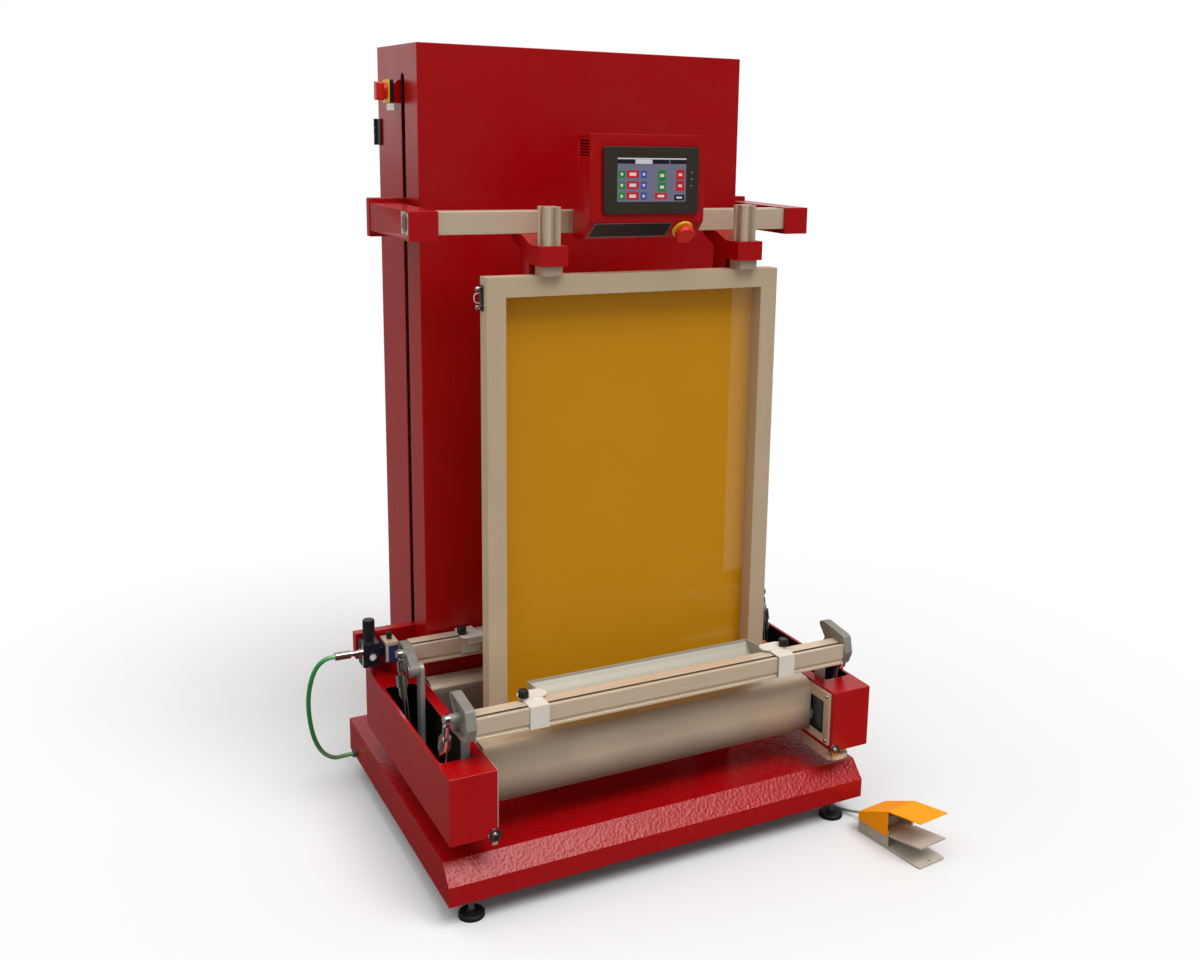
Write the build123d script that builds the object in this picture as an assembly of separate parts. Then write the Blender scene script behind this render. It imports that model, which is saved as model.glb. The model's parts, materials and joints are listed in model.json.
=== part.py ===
from build123d import *
from math import cos, pi, sin, sqrt, tan
import os

os.makedirs("parts", exist_ok=True)

# Screen emulsion coater, in millimetres. X is to the right, Y to the back, Z up from the floor.
# Sizes are worked out with the column's front face at y = 0 and its middle at x = 0.
# At the end everything is moved so that the origin lies at the floor, under the middle of the
# machine and its pedal.

# Clearances, sheet thickness and how far pieces of one node reach into each other
slide_gap = 0.3
running_fit = 0.05
pivot_play = 0.5
slot_gap = 1.5
sheet = 3
overlap = 1

# Column
column_half = 381.5
column_depth = 285
column_height = 1565
return_lip = 25

# Widths, from the column's side outwards: the box's inner face, the stand's post, the coater's
# wing, the rods' eyes, the box's outer face and the end of the crossbar
column_to_box = 11.5
box_to_post = 25
post_thickness = 9.5
wing_thickness = 20
wing_to_rear_eye = 12
wing_to_front_eye = 22
eye_to_box_side = 20
bar_overhang = 27
box_inner = column_half + column_to_box
post_inner = box_inner + box_to_post
wing_inner = post_inner + post_thickness + pivot_play
wing_outer = wing_inner + wing_thickness
rear_eye_x = wing_outer + wing_to_rear_eye
front_eye_x = wing_outer + wing_to_front_eye
box_outer = front_eye_x + eye_to_box_side
carriage_bar_half = box_outer + bar_overhang

# Base plinth, as wide as the carriage's boxes
base_half = box_outer
base_front = -462
base_depth = 732.5
base_height = 78
base_chamfer = 36
base_wall = 4
foot_block = 50
ground_gap = 51
gland_plate = 60
base_back = base_front + base_depth
base_top = ground_gap + base_height
column_top = base_top + column_height

# Levelling feet
foot_radius = 26.5
foot_disc = 10
foot_collar_radius = 10
foot_collar = 5
foot_side_margin = 57
foot_front_margin = 34
foot_back_margin = 35.5
stem_radius = 6
stem_reach = 50
foot_x = base_half - foot_side_margin
foot_front_y = base_front + foot_front_margin
foot_back_y = base_back - foot_back_margin

# Slots in the column's sides
slot_front = 87
slot_width = 25
slot_foot = 211
slot_head = 59
slot_bottom = base_top + slot_foot
slot_top = column_top - slot_head

# Rear door
door_thickness = 3
door_edge = 2
door_rib = 18
door_rib_width = 20
door_rib_side = 20
door_rib_end = 40
hinge_radius = 5.5
hinge_pin = 2
hinge_length = 57
hinge_leaf = 26
hinge_leaf_thickness = 4
hinge_set_in = 0.5
hinge_set_back = 3.5
lower_hinge_rise = 153
upper_hinge_drop = 210.5
hinge_heights = (base_top + lower_hinge_rise, column_top - upper_hinge_drop)
lock_side_margin = 41.5
lock_rise = 771
lock_x = column_half - lock_side_margin
lock_z = base_top + lock_rise
lock_spindle = 4
lock_head = 12
lock_head_depth = 9
lock_grip_depth = 6
lock_grip = 6
lock_cam = 12.5
lock_cam_height = 7
lock_cam_thickness = 4

# Lift inside the column
upright_side_margin = 121.5
upright_x = column_half - upright_side_margin
upright_width = 60
upright_depth = 50
upright_wall = 4
rail_width = 20
rail_depth = 17
block_width = 56
block_height = 54
block_start = 3
screw_y = 45
screw_radius = 12
screw_flange = 18
screw_flange_height = 5
screw_end = 6
motor_size = 80
motor_height = 80
motor_round = 6
bearing_height = 20
bearing_gap = 12
bearing_wall = 12
upper_bearing_drop = 94
upper_bearing = column_top - upper_bearing_drop
nut_width = 64
nut_front_wall = 10

# Control panel inside the column, with its modules as places on the panel
panel_margin = 85
panel_rise = 371
panel_drop = 194
panel_y = column_depth - panel_margin
panel_bottom = base_top + panel_rise
panel_top = column_top - panel_drop
module_depth = 45
drive_unit = (-300, -120, 320, 60)
power_supply = (-60, 60, 260, 60)
relay_row = (120, 300, 200, 60)
terminal_row = (-300, 300, 480, 400)
valve_island = (-200, 200, 920, 740)

# Main switch on the column's left side
switch_y = 136
switch_drop = 96
switch_z = column_top - switch_drop
switch_size = 48
switch_round = 3
riser_depth = 14.5
riser_slope = 8.7
switch_base = 9
handle_radius = 17
handle_hub = 8
handle_depth = 24
handle_grip = 38
handle_thickness = 18
handle_round = 4
switch_spindle = 5

# Carriage side boxes
box_front = -472
box_depth = 582
box_bottom = 185
box_height = 140
box_back = box_front + box_depth
box_top = box_bottom + box_height
box_floor = box_bottom + sheet
hatch_inner_margin = 24
hatch_outer_margin = 7
hatch_front_margin = 72
hatch_back_margin = 130
hatch_inner = box_inner + hatch_inner_margin
hatch_outer = box_outer - hatch_outer_margin
hatch_front = box_front + hatch_front_margin
hatch_back = box_back - hatch_back_margin
side_rail_margin = 47
side_rail_x = box_inner + side_rail_margin
side_rail_width = 20
side_rail_height = 10
side_rail_front_margin = 17
side_rail_back_margin = 15
side_rail_start = box_front + side_rail_front_margin
side_rail_end = box_back - side_rail_back_margin
rail_top = box_floor + side_rail_height

# Crossbars that run through the slots
bar_depth = 22
bar_rise = 31
carriage_bar_bottom = box_top + bar_rise
carriage_bar_height = 60
bar_front = slot_front + slide_gap
bar_back = bar_front + bar_depth
bar_foot_inner_margin = 7
bar_foot_outer_margin = 10

# Inner side plates, the skid and the bolts
plate_thickness = 5
plate_foot = 13
plate_head = 6
plate_front_margin = 10
plate_reach = 147
plate_bottom = box_bottom + plate_foot
plate_top = box_top - plate_head
front_plate_front = box_front + plate_front_margin
front_plate_back = box_front + plate_reach
window_front_margin = 31
window_width = 59
window_foot = 29
window_head = 30
window_front = box_front + window_front_margin
window_back = window_front + window_width
window_bottom = box_bottom + window_foot
window_top = box_top - window_head
skid_width = 56
skid_length = 121
skid_side_margin = 1
skid_front_margin = 5
skid_thickness = 10
skid_drop = 15
skid_corner = 18
skid_web = 14
skid_inner = box_inner + skid_side_margin
skid_outer = skid_inner + skid_width
skid_front = box_front + skid_front_margin
skid_back = skid_front + skid_length
skid_bolt_margin = 7
skid_bolt_rise = 5
skid_bolt_x = box_inner + skid_bolt_margin
skid_bolt_z = box_bottom + skid_bolt_rise
skid_washer = 13
skid_washer_depth = 4
skid_bolt_radius = 7
skid_bolt_depth = 8
skid_lug = 10

# Cross beams
front_beam_margin = 80
front_beam_y = box_front + front_beam_margin
front_beam_depth = 60
rear_beam_margin = 167
rear_beam_y = box_back - rear_beam_margin
rear_beam_depth = 50
rear_plate_margin = 9
rear_plate_width = 64
rear_plate_front = rear_beam_y - rear_plate_margin
rear_plate_back = rear_plate_front + rear_plate_width
beam_rise = 25
beam_bottom = box_bottom + beam_rise
beam_height = 117
beam_round = 28
beam_wall = 4

# Coaters: the front one is worked out here, and the rear one is its mirror about coater_middle
coater_middle = -230
pivot_margin = 100
pivot_rise = 60
pivot_y = box_front + pivot_margin
pivot_z = box_top + pivot_rise
pivot_pin = 7
pivot_cap = 3
pivot_boss = 15
coater_bar = 45
coater_bar_half = wing_inner
bar_to_pivot = 78
bar_below_pivot = 4
coater_bar_front = pivot_y - bar_to_pivot
coater_bar_bottom = pivot_z - bar_below_pivot
coater_bar_back = coater_bar_front + coater_bar
coater_bar_top = coater_bar_bottom + coater_bar
bar_wall = 5
groove_width = 8
groove_depth = 3
post_width = 28
wing_web = 12
wing_rim = 5
wing_round = 7
pin_forward = 30
pin_rise = 29
pin_y = pivot_y - pin_forward
pin_z = pivot_z + pin_rise
eye_pin = 5
eye_pin_cap = 3
eye_clearance = 0.45
eye_radius = 11
eye_thickness = 8
eye_neck = 3.5
eye_neck_length = 3
front_eye_boss = 10
rear_eye_boss = 9
shank_radius = 7
shank_reach = 38
rod_radius = 4
trolley_height = 14
trolley_front_reach = 20
trolley_back_reach = 52
trolley_front = pivot_y - trolley_front_reach
trolley_back = pivot_y + trolley_back_reach
trolley_bottom = rail_top + slide_gap
trolley_top = trolley_bottom + trolley_height
cheek_width = 5
foot_pin_back = 22
foot_pin_rise = 12.7
foot_pin_y = pivot_y + foot_pin_back
foot_pin_z = trolley_top + foot_pin_rise
clevis_pin = 4
clevis_ear = 5
clevis_radius = 9
barrel_foot = 12
barrel_radius = 9
barrel_start = 14
barrel_bore = 6.5
bore_start = 21
rod_showing = 6.023
piston_half = 5
nut_radius = 12
nut_length = 26

# Troughs and the clips that hold them
trough_half = 265
trough_wall = 2.5
trough_to_bar = 3
trough_depth = 99
trough_lip_rise = 33
trough_back_rise = 41
trough_drop = 5
trough_heel = 16
trough_heel_rise = 14
trough_floor = 34
trough_heel_radius = 18
trough_belly_radius = 75
trough_mouth_lip = 5
trough_mouth_drop = 3
trough_ear = 12
trough_ear_inset = 4
trough_ear_height = 6
trough_back_y = coater_bar_back + trough_to_bar
trough_back_z = coater_bar_bottom + trough_back_rise
trough_lip_y = trough_back_y + trough_depth
trough_lip_z = coater_bar_bottom + trough_lip_rise
trough_floor_z = coater_bar_bottom - trough_drop
trough_floor_front = trough_back_y + trough_heel
trough_floor_back = trough_floor_front + trough_floor
clip_tab = 40
clip_thickness = 4
clip_back = 2
clip_foot = 2
clip_back_foot = 8
clip_left = 298
clip_right = 275
clip_plate = 60
clip_plate_depth = 36
clip_plate_side = 6
clip_plate_thickness = 3
clip_plate_set_back = 2
clip_plate_y = trough_back_y + clip_plate_set_back
thumb_radius = 9.5
thumb_height = 16
thumb_round = 2
thumb_stem = 3
thumb_offset = 18

# Air unit on the carriage crossbar
air_gap = 7.3
air_depth = 45
air_back = bar_front - air_gap
air_front = air_back - air_depth
air_rise = 2
regulator_side = 23
regulator_width = 37
regulator_height = 54
regulator_left = -box_outer - regulator_side
regulator_right = regulator_left + regulator_width
regulator_bottom = carriage_bar_bottom - air_rise
regulator_top = regulator_bottom + regulator_height
air_round = 3
neck_radius = 11
neck_height = 10
regulator_knob_radius = 12.5
regulator_knob_height = 40
regulator_knob_round = 2
gauge_radius = 9
gauge_depth = 8
gauge_drop = 1
valve_gap = 13
valve_width = 28
valve_height = 46
valve_left = regulator_right + valve_gap
valve_right = valve_left + valve_width
valve_bottom = carriage_bar_bottom + air_rise
valve_top = valve_bottom + valve_height
valve_knob_radius = 6
valve_knob_height = 16
air_link = 8
air_link_margin = 14
air_foot_margin = 8
air_foot_height = 6
valve_foot_margin = 6
knob_stem = 3
knob_stem_depth = 8
knob_bore_depth = 10
coupling_inset = 5
coupling_rise = 37
coupling_reach = 61.5
coupling_body = 34
coupling_neck = 3
coupling_collar = 10
coupling_y = air_front + coupling_inset
coupling_z = regulator_bottom + coupling_rise
coupling_end = regulator_left - coupling_reach
coupling_radius = 9
hose_radius = 5

# Screen, its fittings and the rests under it
screen_half = 333
screen_bottom = 285
screen_height = 960
screen_top = screen_bottom + screen_height
screen_front = -265.4
screen_depth = 36.4
screen_back = screen_front + screen_depth
screen_profile = 40
mesh_thickness = 0.8
mesh_lap = 10
fitting_thickness = 3
fitting_inset = 17
fitting_width = 22
fitting_drop = 67
fitting_height = 50
fitting_bolt = 4.5
fitting_bolt_length = 9
fitting_bolt_margin = 7
fitting_front = screen_front + fitting_inset
fitting_bottom = screen_top - fitting_drop
rest_x = 220
rest_width = 60
rest_lip = 6
rest_lip_height = 10
rest_gap = 0.6

# Holder above the screen: the clamps' height over the screen, the bar, the arms and the plate
clamp_rise = 20
holder_bar_rise = 56
clamp_bottom = screen_top + clamp_rise
holder_bar_y = -178
holder_bar_z = clamp_bottom + holder_bar_rise
tee_width = 8
arm_side = 19.5
arm_width = 59
arm_front_reach = 7
arm_foot = 11
arm_height = 58
arm_inner = column_half + arm_side
arm_outer = arm_inner + arm_width
arm_front = holder_bar_y - arm_front_reach
arm_bottom = holder_bar_z - arm_foot
arm_top = arm_bottom + arm_height
holder_plate_side = 2
holder_plate_foot = 13
holder_plate_half = arm_outer + holder_plate_side
holder_plate_bottom = arm_bottom - holder_plate_foot
holder_plate_height = 81

# Operator box
console_half = 128.5
console_front = -293
console_depth = 83
console_foot = 6
console_lower = 37
console_upper = 170.5
console_slope = 31
console_back = console_front + console_depth
console_bottom = holder_bar_z - console_foot
console_break = console_bottom + console_lower
console_top = console_break + console_upper
console_slope_back = console_front + console_slope
console_wall = 2
bracket_half = 80
bracket_foot = 5
bracket_height = 36
bracket_bottom = holder_bar_z + bracket_foot
bracket_top = bracket_bottom + bracket_height
bezel_left = -101.5
bezel_right = 112
bezel_foot = 15
bezel_head = 23.5
bezel_bottom = console_break + bezel_foot
bezel_top = console_top - bezel_head
bezel_depth = 7
bezel_round = 5
module_inset = 10
module_reach = 31
louvre_count = 6
louvre_drop = 43.5
louvre_pitch = 5.6
louvre_slot = 2.6
louvre_margin = 6
louvre_length = 43
louvre_bottom = console_top - louvre_drop
louvre_front = console_front + louvre_margin
louvre_back = louvre_front + louvre_length
stop_x = 88
stop_collar = 22
stop_collar_height = 4
stop_travel = 5
stop_gap = 0.5
stop_head = 20
stop_head_height = 13
stop_head_round = 4
stop_stem = 11
stop_stem_length = 14

# Screen clamps
left_clamp_x = -200
right_clamp_x = 250.5
clamp_width = 60
post_size = 35
post_y = -257.5
post_top_rise = 115.5
post_top = clamp_bottom + post_top_rise
clamp_front_reach = 27.5
clamp_back_reach = 25.5
clamp_shoulder_rise = 40
clamp_slope_gap = 12
clamp_seat = 12
clamp_front = post_y - clamp_front_reach
clamp_shoulder = clamp_bottom + clamp_shoulder_rise
clamp_slope_start = post_y + clamp_back_reach
clamp_slope_end = holder_bar_y - clamp_slope_gap
back_stop_gap = 3
back_stop_inset = 2
back_stop_drop = 35
back_stop_rise = 25
back_stop_front = screen_back + back_stop_gap
back_stop_back = holder_bar_y - back_stop_inset
back_stop_bottom = screen_top - back_stop_drop
back_stop_root = clamp_bottom + back_stop_rise
tee_reach = 4
press_foot = 42
press_foot_height = 19
pocket_size = 45
pocket_height = 22
sliding_post_gap = 0.3

# Foot pedal, worked out about the middle of its rear edge and then turned and put in place
pedal_side_margin = 3
pedal_forward = 40.5
pedal_x = base_half - pedal_side_margin
pedal_y = base_front - pedal_forward
pedal_turn = 7.3
pedal_width = 78
pedal_length = 193
pedal_plate = 4
pedal_round = 6
pedal_hole = 4
pedal_hole_y = -182
cheek_thickness = 4
cheek_front = -95
cheek_back = -35
cheek_top = 42
treadle_y = -70
treadle_z = 22
treadle_pin = 4
treadle_hub = 7
treadle_thickness = 4
treadle_tip = 50
treadle_start = 30
treadle_inset = 2
treadle_ear = 6
treadle_side_gap = 1
pedal_body_front = -58
pedal_body_back = -2
pedal_body_top = 46
hood_thickness = 3
hood_back_inset = 3
hood_rear_z = 50
hood_ridge_y = -95
hood_ridge_z = 92
hood_tip_y = -190
hood_tip_z = 108
hood_skirt_bottom = 30

# Glands and cords
gland_shank = 5.5
gland_shank_length = 6
gland_flange = 9
gland_reach = 8
hose_gland_back = 51.5
hose_gland_rise = 10.5
hose_gland_y = base_back - hose_gland_back
hose_gland_z = ground_gap + hose_gland_rise
cord_radius = 3
cord_gland_side = 50
cord_gland_front = 132
cord_gland_x = base_half - cord_gland_side
cord_gland_y = base_front + cord_gland_front
cord_gland_shank = 14
cord_gland_reach = 10
pedal_gland_z = 20
pedal_gland_flange = 7

# Worked-out lengths of the cylinders
pin_arm_y = foot_pin_y - pin_y
pin_arm_z = foot_pin_z - pin_z
cylinder_length = sqrt(pin_arm_y**2 + pin_arm_z**2)
cylinder_y = pin_arm_y / cylinder_length
cylinder_z = pin_arm_z / cylinder_length
barrel_reach = cylinder_length - shank_reach - nut_length - rod_showing


# Plain shapes
def block(x0, x1, y0, y1, z0, z1):
    middle = Pos((x0 + x1) / 2, (y0 + y1) / 2, (z0 + z1) / 2)
    return middle * Box(abs(x1 - x0), abs(y1 - y0), abs(z1 - z0))


def bar_between(start, end, radius):
    direction = Vector(*end) - Vector(*start)
    return extrude(Plane(origin=start, z_dir=direction) * Circle(radius), amount=direction.length)


def round_x(x0, x1, y, z, radius):
    return bar_between((x0, y, z), (x1, y, z), radius)


def round_y(x, y0, y1, z, radius):
    return bar_between((x, y0, z), (x, y1, z), radius)


def round_z(x, y, z0, z1, radius):
    return bar_between((x, y, z0), (x, y, z1), radius)


def side_face(points):
    return make_face(Polyline(*points, close=True))


def side_extrusion(points, x0, x1):
    return extrude(Plane.YZ.offset(x0) * side_face(points), amount=x1 - x0)


def both_sides(shape):
    return [shape, mirror(shape, about=Plane.YZ)]


def to_rear(shape):
    return mirror(shape, about=Plane.XZ.offset(-coater_middle))


def along_cylinder(distance, x):
    return (x, foot_pin_y - cylinder_y * distance, foot_pin_z - cylinder_z * distance)


# Base: a folded sheet tray, open below, with a threaded block for each foot in its corners
def base_plinth():
    outline = [
        (base_front, ground_gap),
        (base_back, ground_gap),
        (base_back, base_top),
        (base_front + base_chamfer, base_top),
        (base_front, base_top - base_chamfer),
    ]
    outer = side_extrusion(outline, -base_half, base_half)
    inset = offset(side_face(outline), amount=-base_wall, kind=Kind.INTERSECTION)
    inner_half = base_half - base_wall
    cavity = extrude(Plane.YZ.offset(-inner_half) * inset, amount=2 * inner_half)
    mouth = block(
        -inner_half,
        inner_half,
        base_front + base_wall,
        base_back - base_wall,
        ground_gap - overlap,
        ground_gap + base_wall + overlap,
    )
    tray = outer - cavity - mouth
    for x, y in foot_places():
        half = foot_block / 2
        corner = block(x - half, x + half, y - half, y + half, ground_gap, base_top - base_wall / 2)
        tray += corner & outer
        tray -= round_z(x, y, ground_gap - overlap, ground_gap + stem_reach, stem_radius + running_fit)
    shelf = block(
        cord_gland_x - gland_plate / 2,
        base_half - base_wall / 2,
        cord_gland_y - gland_plate / 2,
        cord_gland_y + gland_plate / 2,
        ground_gap,
        ground_gap + base_wall,
    )
    tray += shelf
    shank = gland_shank + running_fit
    shelf_top = ground_gap + base_wall
    tray -= round_z(cord_gland_x, cord_gland_y, ground_gap - overlap, shelf_top + overlap, shank)
    tray -= round_x(-base_half - overlap, -inner_half + overlap, hose_gland_y, hose_gland_z, shank)
    return tray


def foot_places():
    return [(x, y) for x in (-foot_x, foot_x) for y in (foot_front_y, foot_back_y)]


def levelling_foot(x, y):
    disc = round_z(x, y, 0, foot_disc, foot_radius)
    disc = fillet(disc.edges().group_by(Axis.Z)[-1], foot_disc / 3)
    stem = round_z(x, y, foot_disc - overlap, ground_gap + stem_reach - overlap, stem_radius)
    shoulder = round_z(x, y, foot_disc - overlap, foot_disc + foot_collar, foot_collar_radius)
    return disc + stem + shoulder


# Column: welded sheets, open at the back, with a slot in each side for the crossbars
def column_shell():
    inner = column_half - sheet
    inner_top = column_top - sheet
    slot_back = slot_front + slot_width
    slot_radius = slot_width / 2
    head_middle = slot_top - slot_radius
    head_bottom = head_middle - overlap
    cut_end = column_half + overlap
    head = block(inner, column_half, sheet, column_depth, head_bottom, inner_top)
    head -= block(inner - overlap, cut_end, slot_front, slot_back, head_bottom - overlap, head_middle)
    head -= round_x(inner - overlap, cut_end, slot_front + slot_radius, head_middle, slot_radius)
    lip_start = inner - return_lip
    side = [
        head,
        block(inner, column_half, sheet, slot_front, base_top, head_bottom),
        block(inner, column_half, slot_back, column_depth, base_top, head_bottom),
        block(inner, column_half, slot_front, slot_back, base_top, slot_bottom),
        block(lip_start, inner, column_depth - sheet, column_depth, base_top, inner_top),
    ]
    sheets = [
        block(-column_half, column_half, 0, sheet, base_top, column_top),
        block(-column_half, column_half, sheet, column_depth, inner_top, column_top),
    ]
    for piece in side:
        sheets += both_sides(piece)
    return sheets


# The door hangs on two black hinges at its left edge, seen from the front
def hinge_axis():
    x = -column_half - hinge_leaf_thickness + hinge_set_in
    y = column_depth + slide_gap + door_thickness + hinge_set_back
    return x, y


def door_hinges():
    x, y = hinge_axis()
    third = hinge_length / 3
    outside = -column_half - hinge_leaf_thickness
    hinges = []
    for height in hinge_heights:
        leaf = block(
            outside,
            -column_half,
            column_depth - hinge_leaf,
            column_depth,
            height,
            height + hinge_length,
        )
        for z0, z1 in ((height, height + third), (height + 2 * third, height + hinge_length)):
            leaf += round_z(x, y, z0, z1, hinge_radius)
            leaf += block(outside, -column_half - hinge_set_in, column_depth - overlap, y, z0, z1)
        leaf += round_z(x, y, height, height + hinge_length, hinge_pin)
        hinges.append(leaf)
    return hinges


def rear_door():
    x, y = hinge_axis()
    inner = column_depth + slide_gap
    outer = inner + door_thickness
    edge = column_half - door_edge
    bottom = base_top + door_edge
    top = column_top - door_edge
    door = block(-edge, edge, inner, outer, bottom, top)
    rib_x = column_half - sheet - return_lip - door_rib_side
    rib = block(
        rib_x - door_rib_width,
        rib_x,
        inner - door_rib,
        inner,
        bottom + door_rib_end,
        top - door_rib_end,
    )
    third = hinge_length / 3
    for height in hinge_heights:
        z0 = height + third + slide_gap
        z1 = height + 2 * third - slide_gap
        door += round_z(x, y, z0, z1, hinge_radius)
        door += block(x, -edge + hinge_leaf, outer - overlap, y, z0, z1)
        door -= round_z(x, y, z0 - overlap, z1 + overlap, hinge_pin + running_fit)
        beside = x - hinge_radius - overlap
        for low, high in ((z0 - third - 1, z0 - slide_gap / 2), (z1 + slide_gap / 2, z1 + third + 1)):
            door -= block(beside, overlap - edge, inner - overlap, outer + overlap, low, high)
    door -= round_y(lock_x, inner - overlap, outer + overlap, lock_z, lock_spindle + running_fit)
    return [door, *both_sides(rib)]


# Quarter-turn lock: a round head outside, a spindle through the door and a short cam inside
def door_lock():
    outside = column_depth + slide_gap + door_thickness + slide_gap
    cam_back = column_depth - sheet - slide_gap
    cam_front = cam_back - lock_cam_thickness
    face = outside + lock_head_depth
    head = round_y(lock_x, outside, face, lock_z, lock_head)
    grip = block(
        lock_x - lock_head,
        lock_x + lock_head,
        face - overlap,
        face + lock_grip_depth,
        lock_z - lock_grip / 2,
        lock_z + lock_grip / 2,
    )
    spindle = round_y(lock_x, cam_front, outside + overlap, lock_z, lock_spindle)
    cam_half = lock_cam_height / 2
    cam = block(lock_x, lock_x + lock_cam, cam_front, cam_back, lock_z - cam_half, lock_z + cam_half)
    hub = round_y(lock_x, cam_front, cam_back, lock_z, lock_spindle + 1)
    return head + grip + spindle + hub + cam


# Lift: two uprights with rails, a motor below and a screw that carries the carriage's nut
def lift_rails():
    half = upright_width / 2
    back = sheet + upright_depth
    top = column_top - sheet
    tube = block(upright_x - half, upright_x + half, sheet, back, base_top, top)
    tube -= block(
        upright_x - half + upright_wall,
        upright_x + half - upright_wall,
        sheet + upright_wall,
        back - upright_wall,
        base_top - overlap,
        top + overlap,
    )
    rail_half = rail_width / 2
    rail = block(upright_x - rail_half, upright_x + rail_half, back, back + rail_depth, base_top, top)
    return both_sides(tube + rail)


def drive_motor():
    half = motor_size / 2
    motor_top = base_top + motor_height
    motor = block(-half, half, sheet, sheet + motor_size, base_top, motor_top)
    motor = fillet(motor.edges().filter_by(Axis.Z), motor_round)
    lower = bearing(motor_top + bearing_gap)
    upper = bearing(upper_bearing)
    return [motor, lower, upper]


def bearing(z0):
    half = motor_size / 2
    back = screw_y + screw_radius + bearing_wall
    housing = block(-half, half, sheet, back, z0, z0 + bearing_height)
    bore = screw_radius + running_fit
    return housing - round_z(0, screw_y, z0 - overlap, z0 + bearing_height + overlap, bore)


def drive_screw():
    motor_top = base_top + motor_height
    flange_bottom = motor_top + bearing_gap + bearing_height + slide_gap
    top = upper_bearing + bearing_height + screw_end
    screw = round_z(0, screw_y, motor_top + slide_gap, top, screw_radius)
    return screw + round_z(0, screw_y, flange_bottom, flange_bottom + screw_flange_height, screw_flange)


def rail_block(z_middle):
    half = block_width / 2
    z0 = z_middle - block_height / 2
    z1 = z_middle + block_height / 2
    rail_face = sheet + upright_depth + rail_depth
    shoe_front = sheet + upright_depth + block_start
    shoe = block(upright_x - half, upright_x + half, shoe_front, bar_front, z0, z1)
    channel = rail_width / 2 + slide_gap
    shoe -= block(
        upright_x - channel,
        upright_x + channel,
        sheet + upright_depth - overlap,
        rail_face + slide_gap,
        z0 - overlap,
        z1 + overlap,
    )
    return both_sides(shoe)


def carriage_blocks():
    z0 = carriage_bar_bottom
    z1 = carriage_bar_bottom + carriage_bar_height
    half = nut_width / 2
    front = screw_y - screw_radius - nut_front_wall
    nut = block(-half, half, front, bar_front, z0, z1)
    nut -= round_z(0, screw_y, z0 - overlap, z1 + overlap, screw_radius + running_fit)
    return rail_block((z0 + z1) / 2) + [nut]


def control_panel():
    width = column_half - sheet
    panel = block(-width, width, panel_y, panel_y + sheet, panel_bottom, panel_top)
    back = panel_y + sheet + module_depth
    for x0, x1, low, high in (drive_unit, power_supply, relay_row, terminal_row, valve_island):
        panel += block(x0, x1, panel_y + sheet - overlap, back, panel_top - low, panel_top - high)
    return panel


# Main switch: red riser with a sloped top, black base and a turning handle
def main_switch():
    half = switch_size / 2
    left, right = switch_y - half, switch_y + half
    low, high = switch_z - half, switch_z + half
    front = -column_half - riser_depth
    riser = block(front, -column_half, left, right, low, high)
    slope = riser.edges().filter_by(Axis.Y).group_by(Axis.Z)[-1].sort_by(Axis.X)[0]
    riser = chamfer(slope, riser_slope)
    base = block(front - switch_base, front, left, right, low, high)
    base = fillet(base.edges().filter_by(Axis.X), switch_round)
    bore_start_x = front - switch_base - overlap
    bore_end_x = front + riser_depth / 2 + switch_base / 2
    bore = round_x(bore_start_x, bore_end_x, switch_y, switch_z, switch_spindle + running_fit)
    return [riser - bore, base - bore]


def switch_handle():
    front = -column_half - riser_depth - switch_base - slide_gap
    hub_front = front - handle_hub
    hub = round_x(hub_front, front, switch_y, switch_z, handle_radius)
    grip = block(
        front - handle_depth,
        hub_front + overlap,
        switch_y - handle_thickness / 2,
        switch_y + handle_thickness / 2,
        switch_z - handle_grip / 2,
        switch_z + handle_grip / 2,
    )
    grip = fillet(grip.edges().filter_by(Axis.X), handle_round)
    end = front + switch_base + riser_depth / 2
    return hub + grip + round_x(front - overlap, end, switch_y, switch_z, switch_spindle)


# Carriage crossbar, with an upright foot down to each side box
def carriage_crossbar():
    top = carriage_bar_bottom + carriage_bar_height
    bar = block(-carriage_bar_half, carriage_bar_half, bar_front, bar_back, carriage_bar_bottom, top)
    foot = block(
        box_inner + bar_foot_inner_margin,
        box_outer - bar_foot_outer_margin,
        bar_front,
        bar_back - slot_gap,
        box_top,
        carriage_bar_bottom + overlap,
    )
    for side in both_sides(foot):
        bar += side
    return bar


# Each side box is welded from plates: a floor with its rail, four walls and a lid round the hatch
def side_boxes():
    wall_inner = box_inner + sheet
    wall_outer = box_outer - sheet
    lid = box_top - sheet
    rail_start = side_rail_x - side_rail_width / 2
    plates = [
        block(box_inner, box_outer, box_front, box_back, box_bottom, box_floor),
        block(rail_start, rail_start + side_rail_width, side_rail_start, side_rail_end, box_floor, rail_top),
        block(wall_outer, box_outer, box_front, box_back, box_floor, lid),
        block(wall_inner, wall_outer, box_front, box_front + sheet, box_floor, lid),
        block(wall_inner, wall_outer, box_back - sheet, box_back, box_floor, lid),
        block(box_inner, wall_inner, box_front, window_front, box_floor, lid),
        block(box_inner, wall_inner, window_back, box_back, box_floor, lid),
        block(box_inner, wall_inner, window_front, window_back, box_floor, window_bottom),
        block(box_inner, wall_inner, window_front, window_back, window_top, lid),
        block(box_inner, box_outer, box_front, hatch_front, lid, box_top),
        block(box_inner, box_outer, hatch_back, box_back, lid, box_top),
        block(box_inner, hatch_inner, hatch_front, hatch_back, lid, box_top),
        block(hatch_outer, box_outer, hatch_front, hatch_back, lid, box_top),
    ]
    boxes = []
    for plate in plates:
        boxes += both_sides(plate)
    return boxes


def window_block(x0, x1):
    return block(x0, x1, window_front, window_back, window_bottom, window_top)


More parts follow.
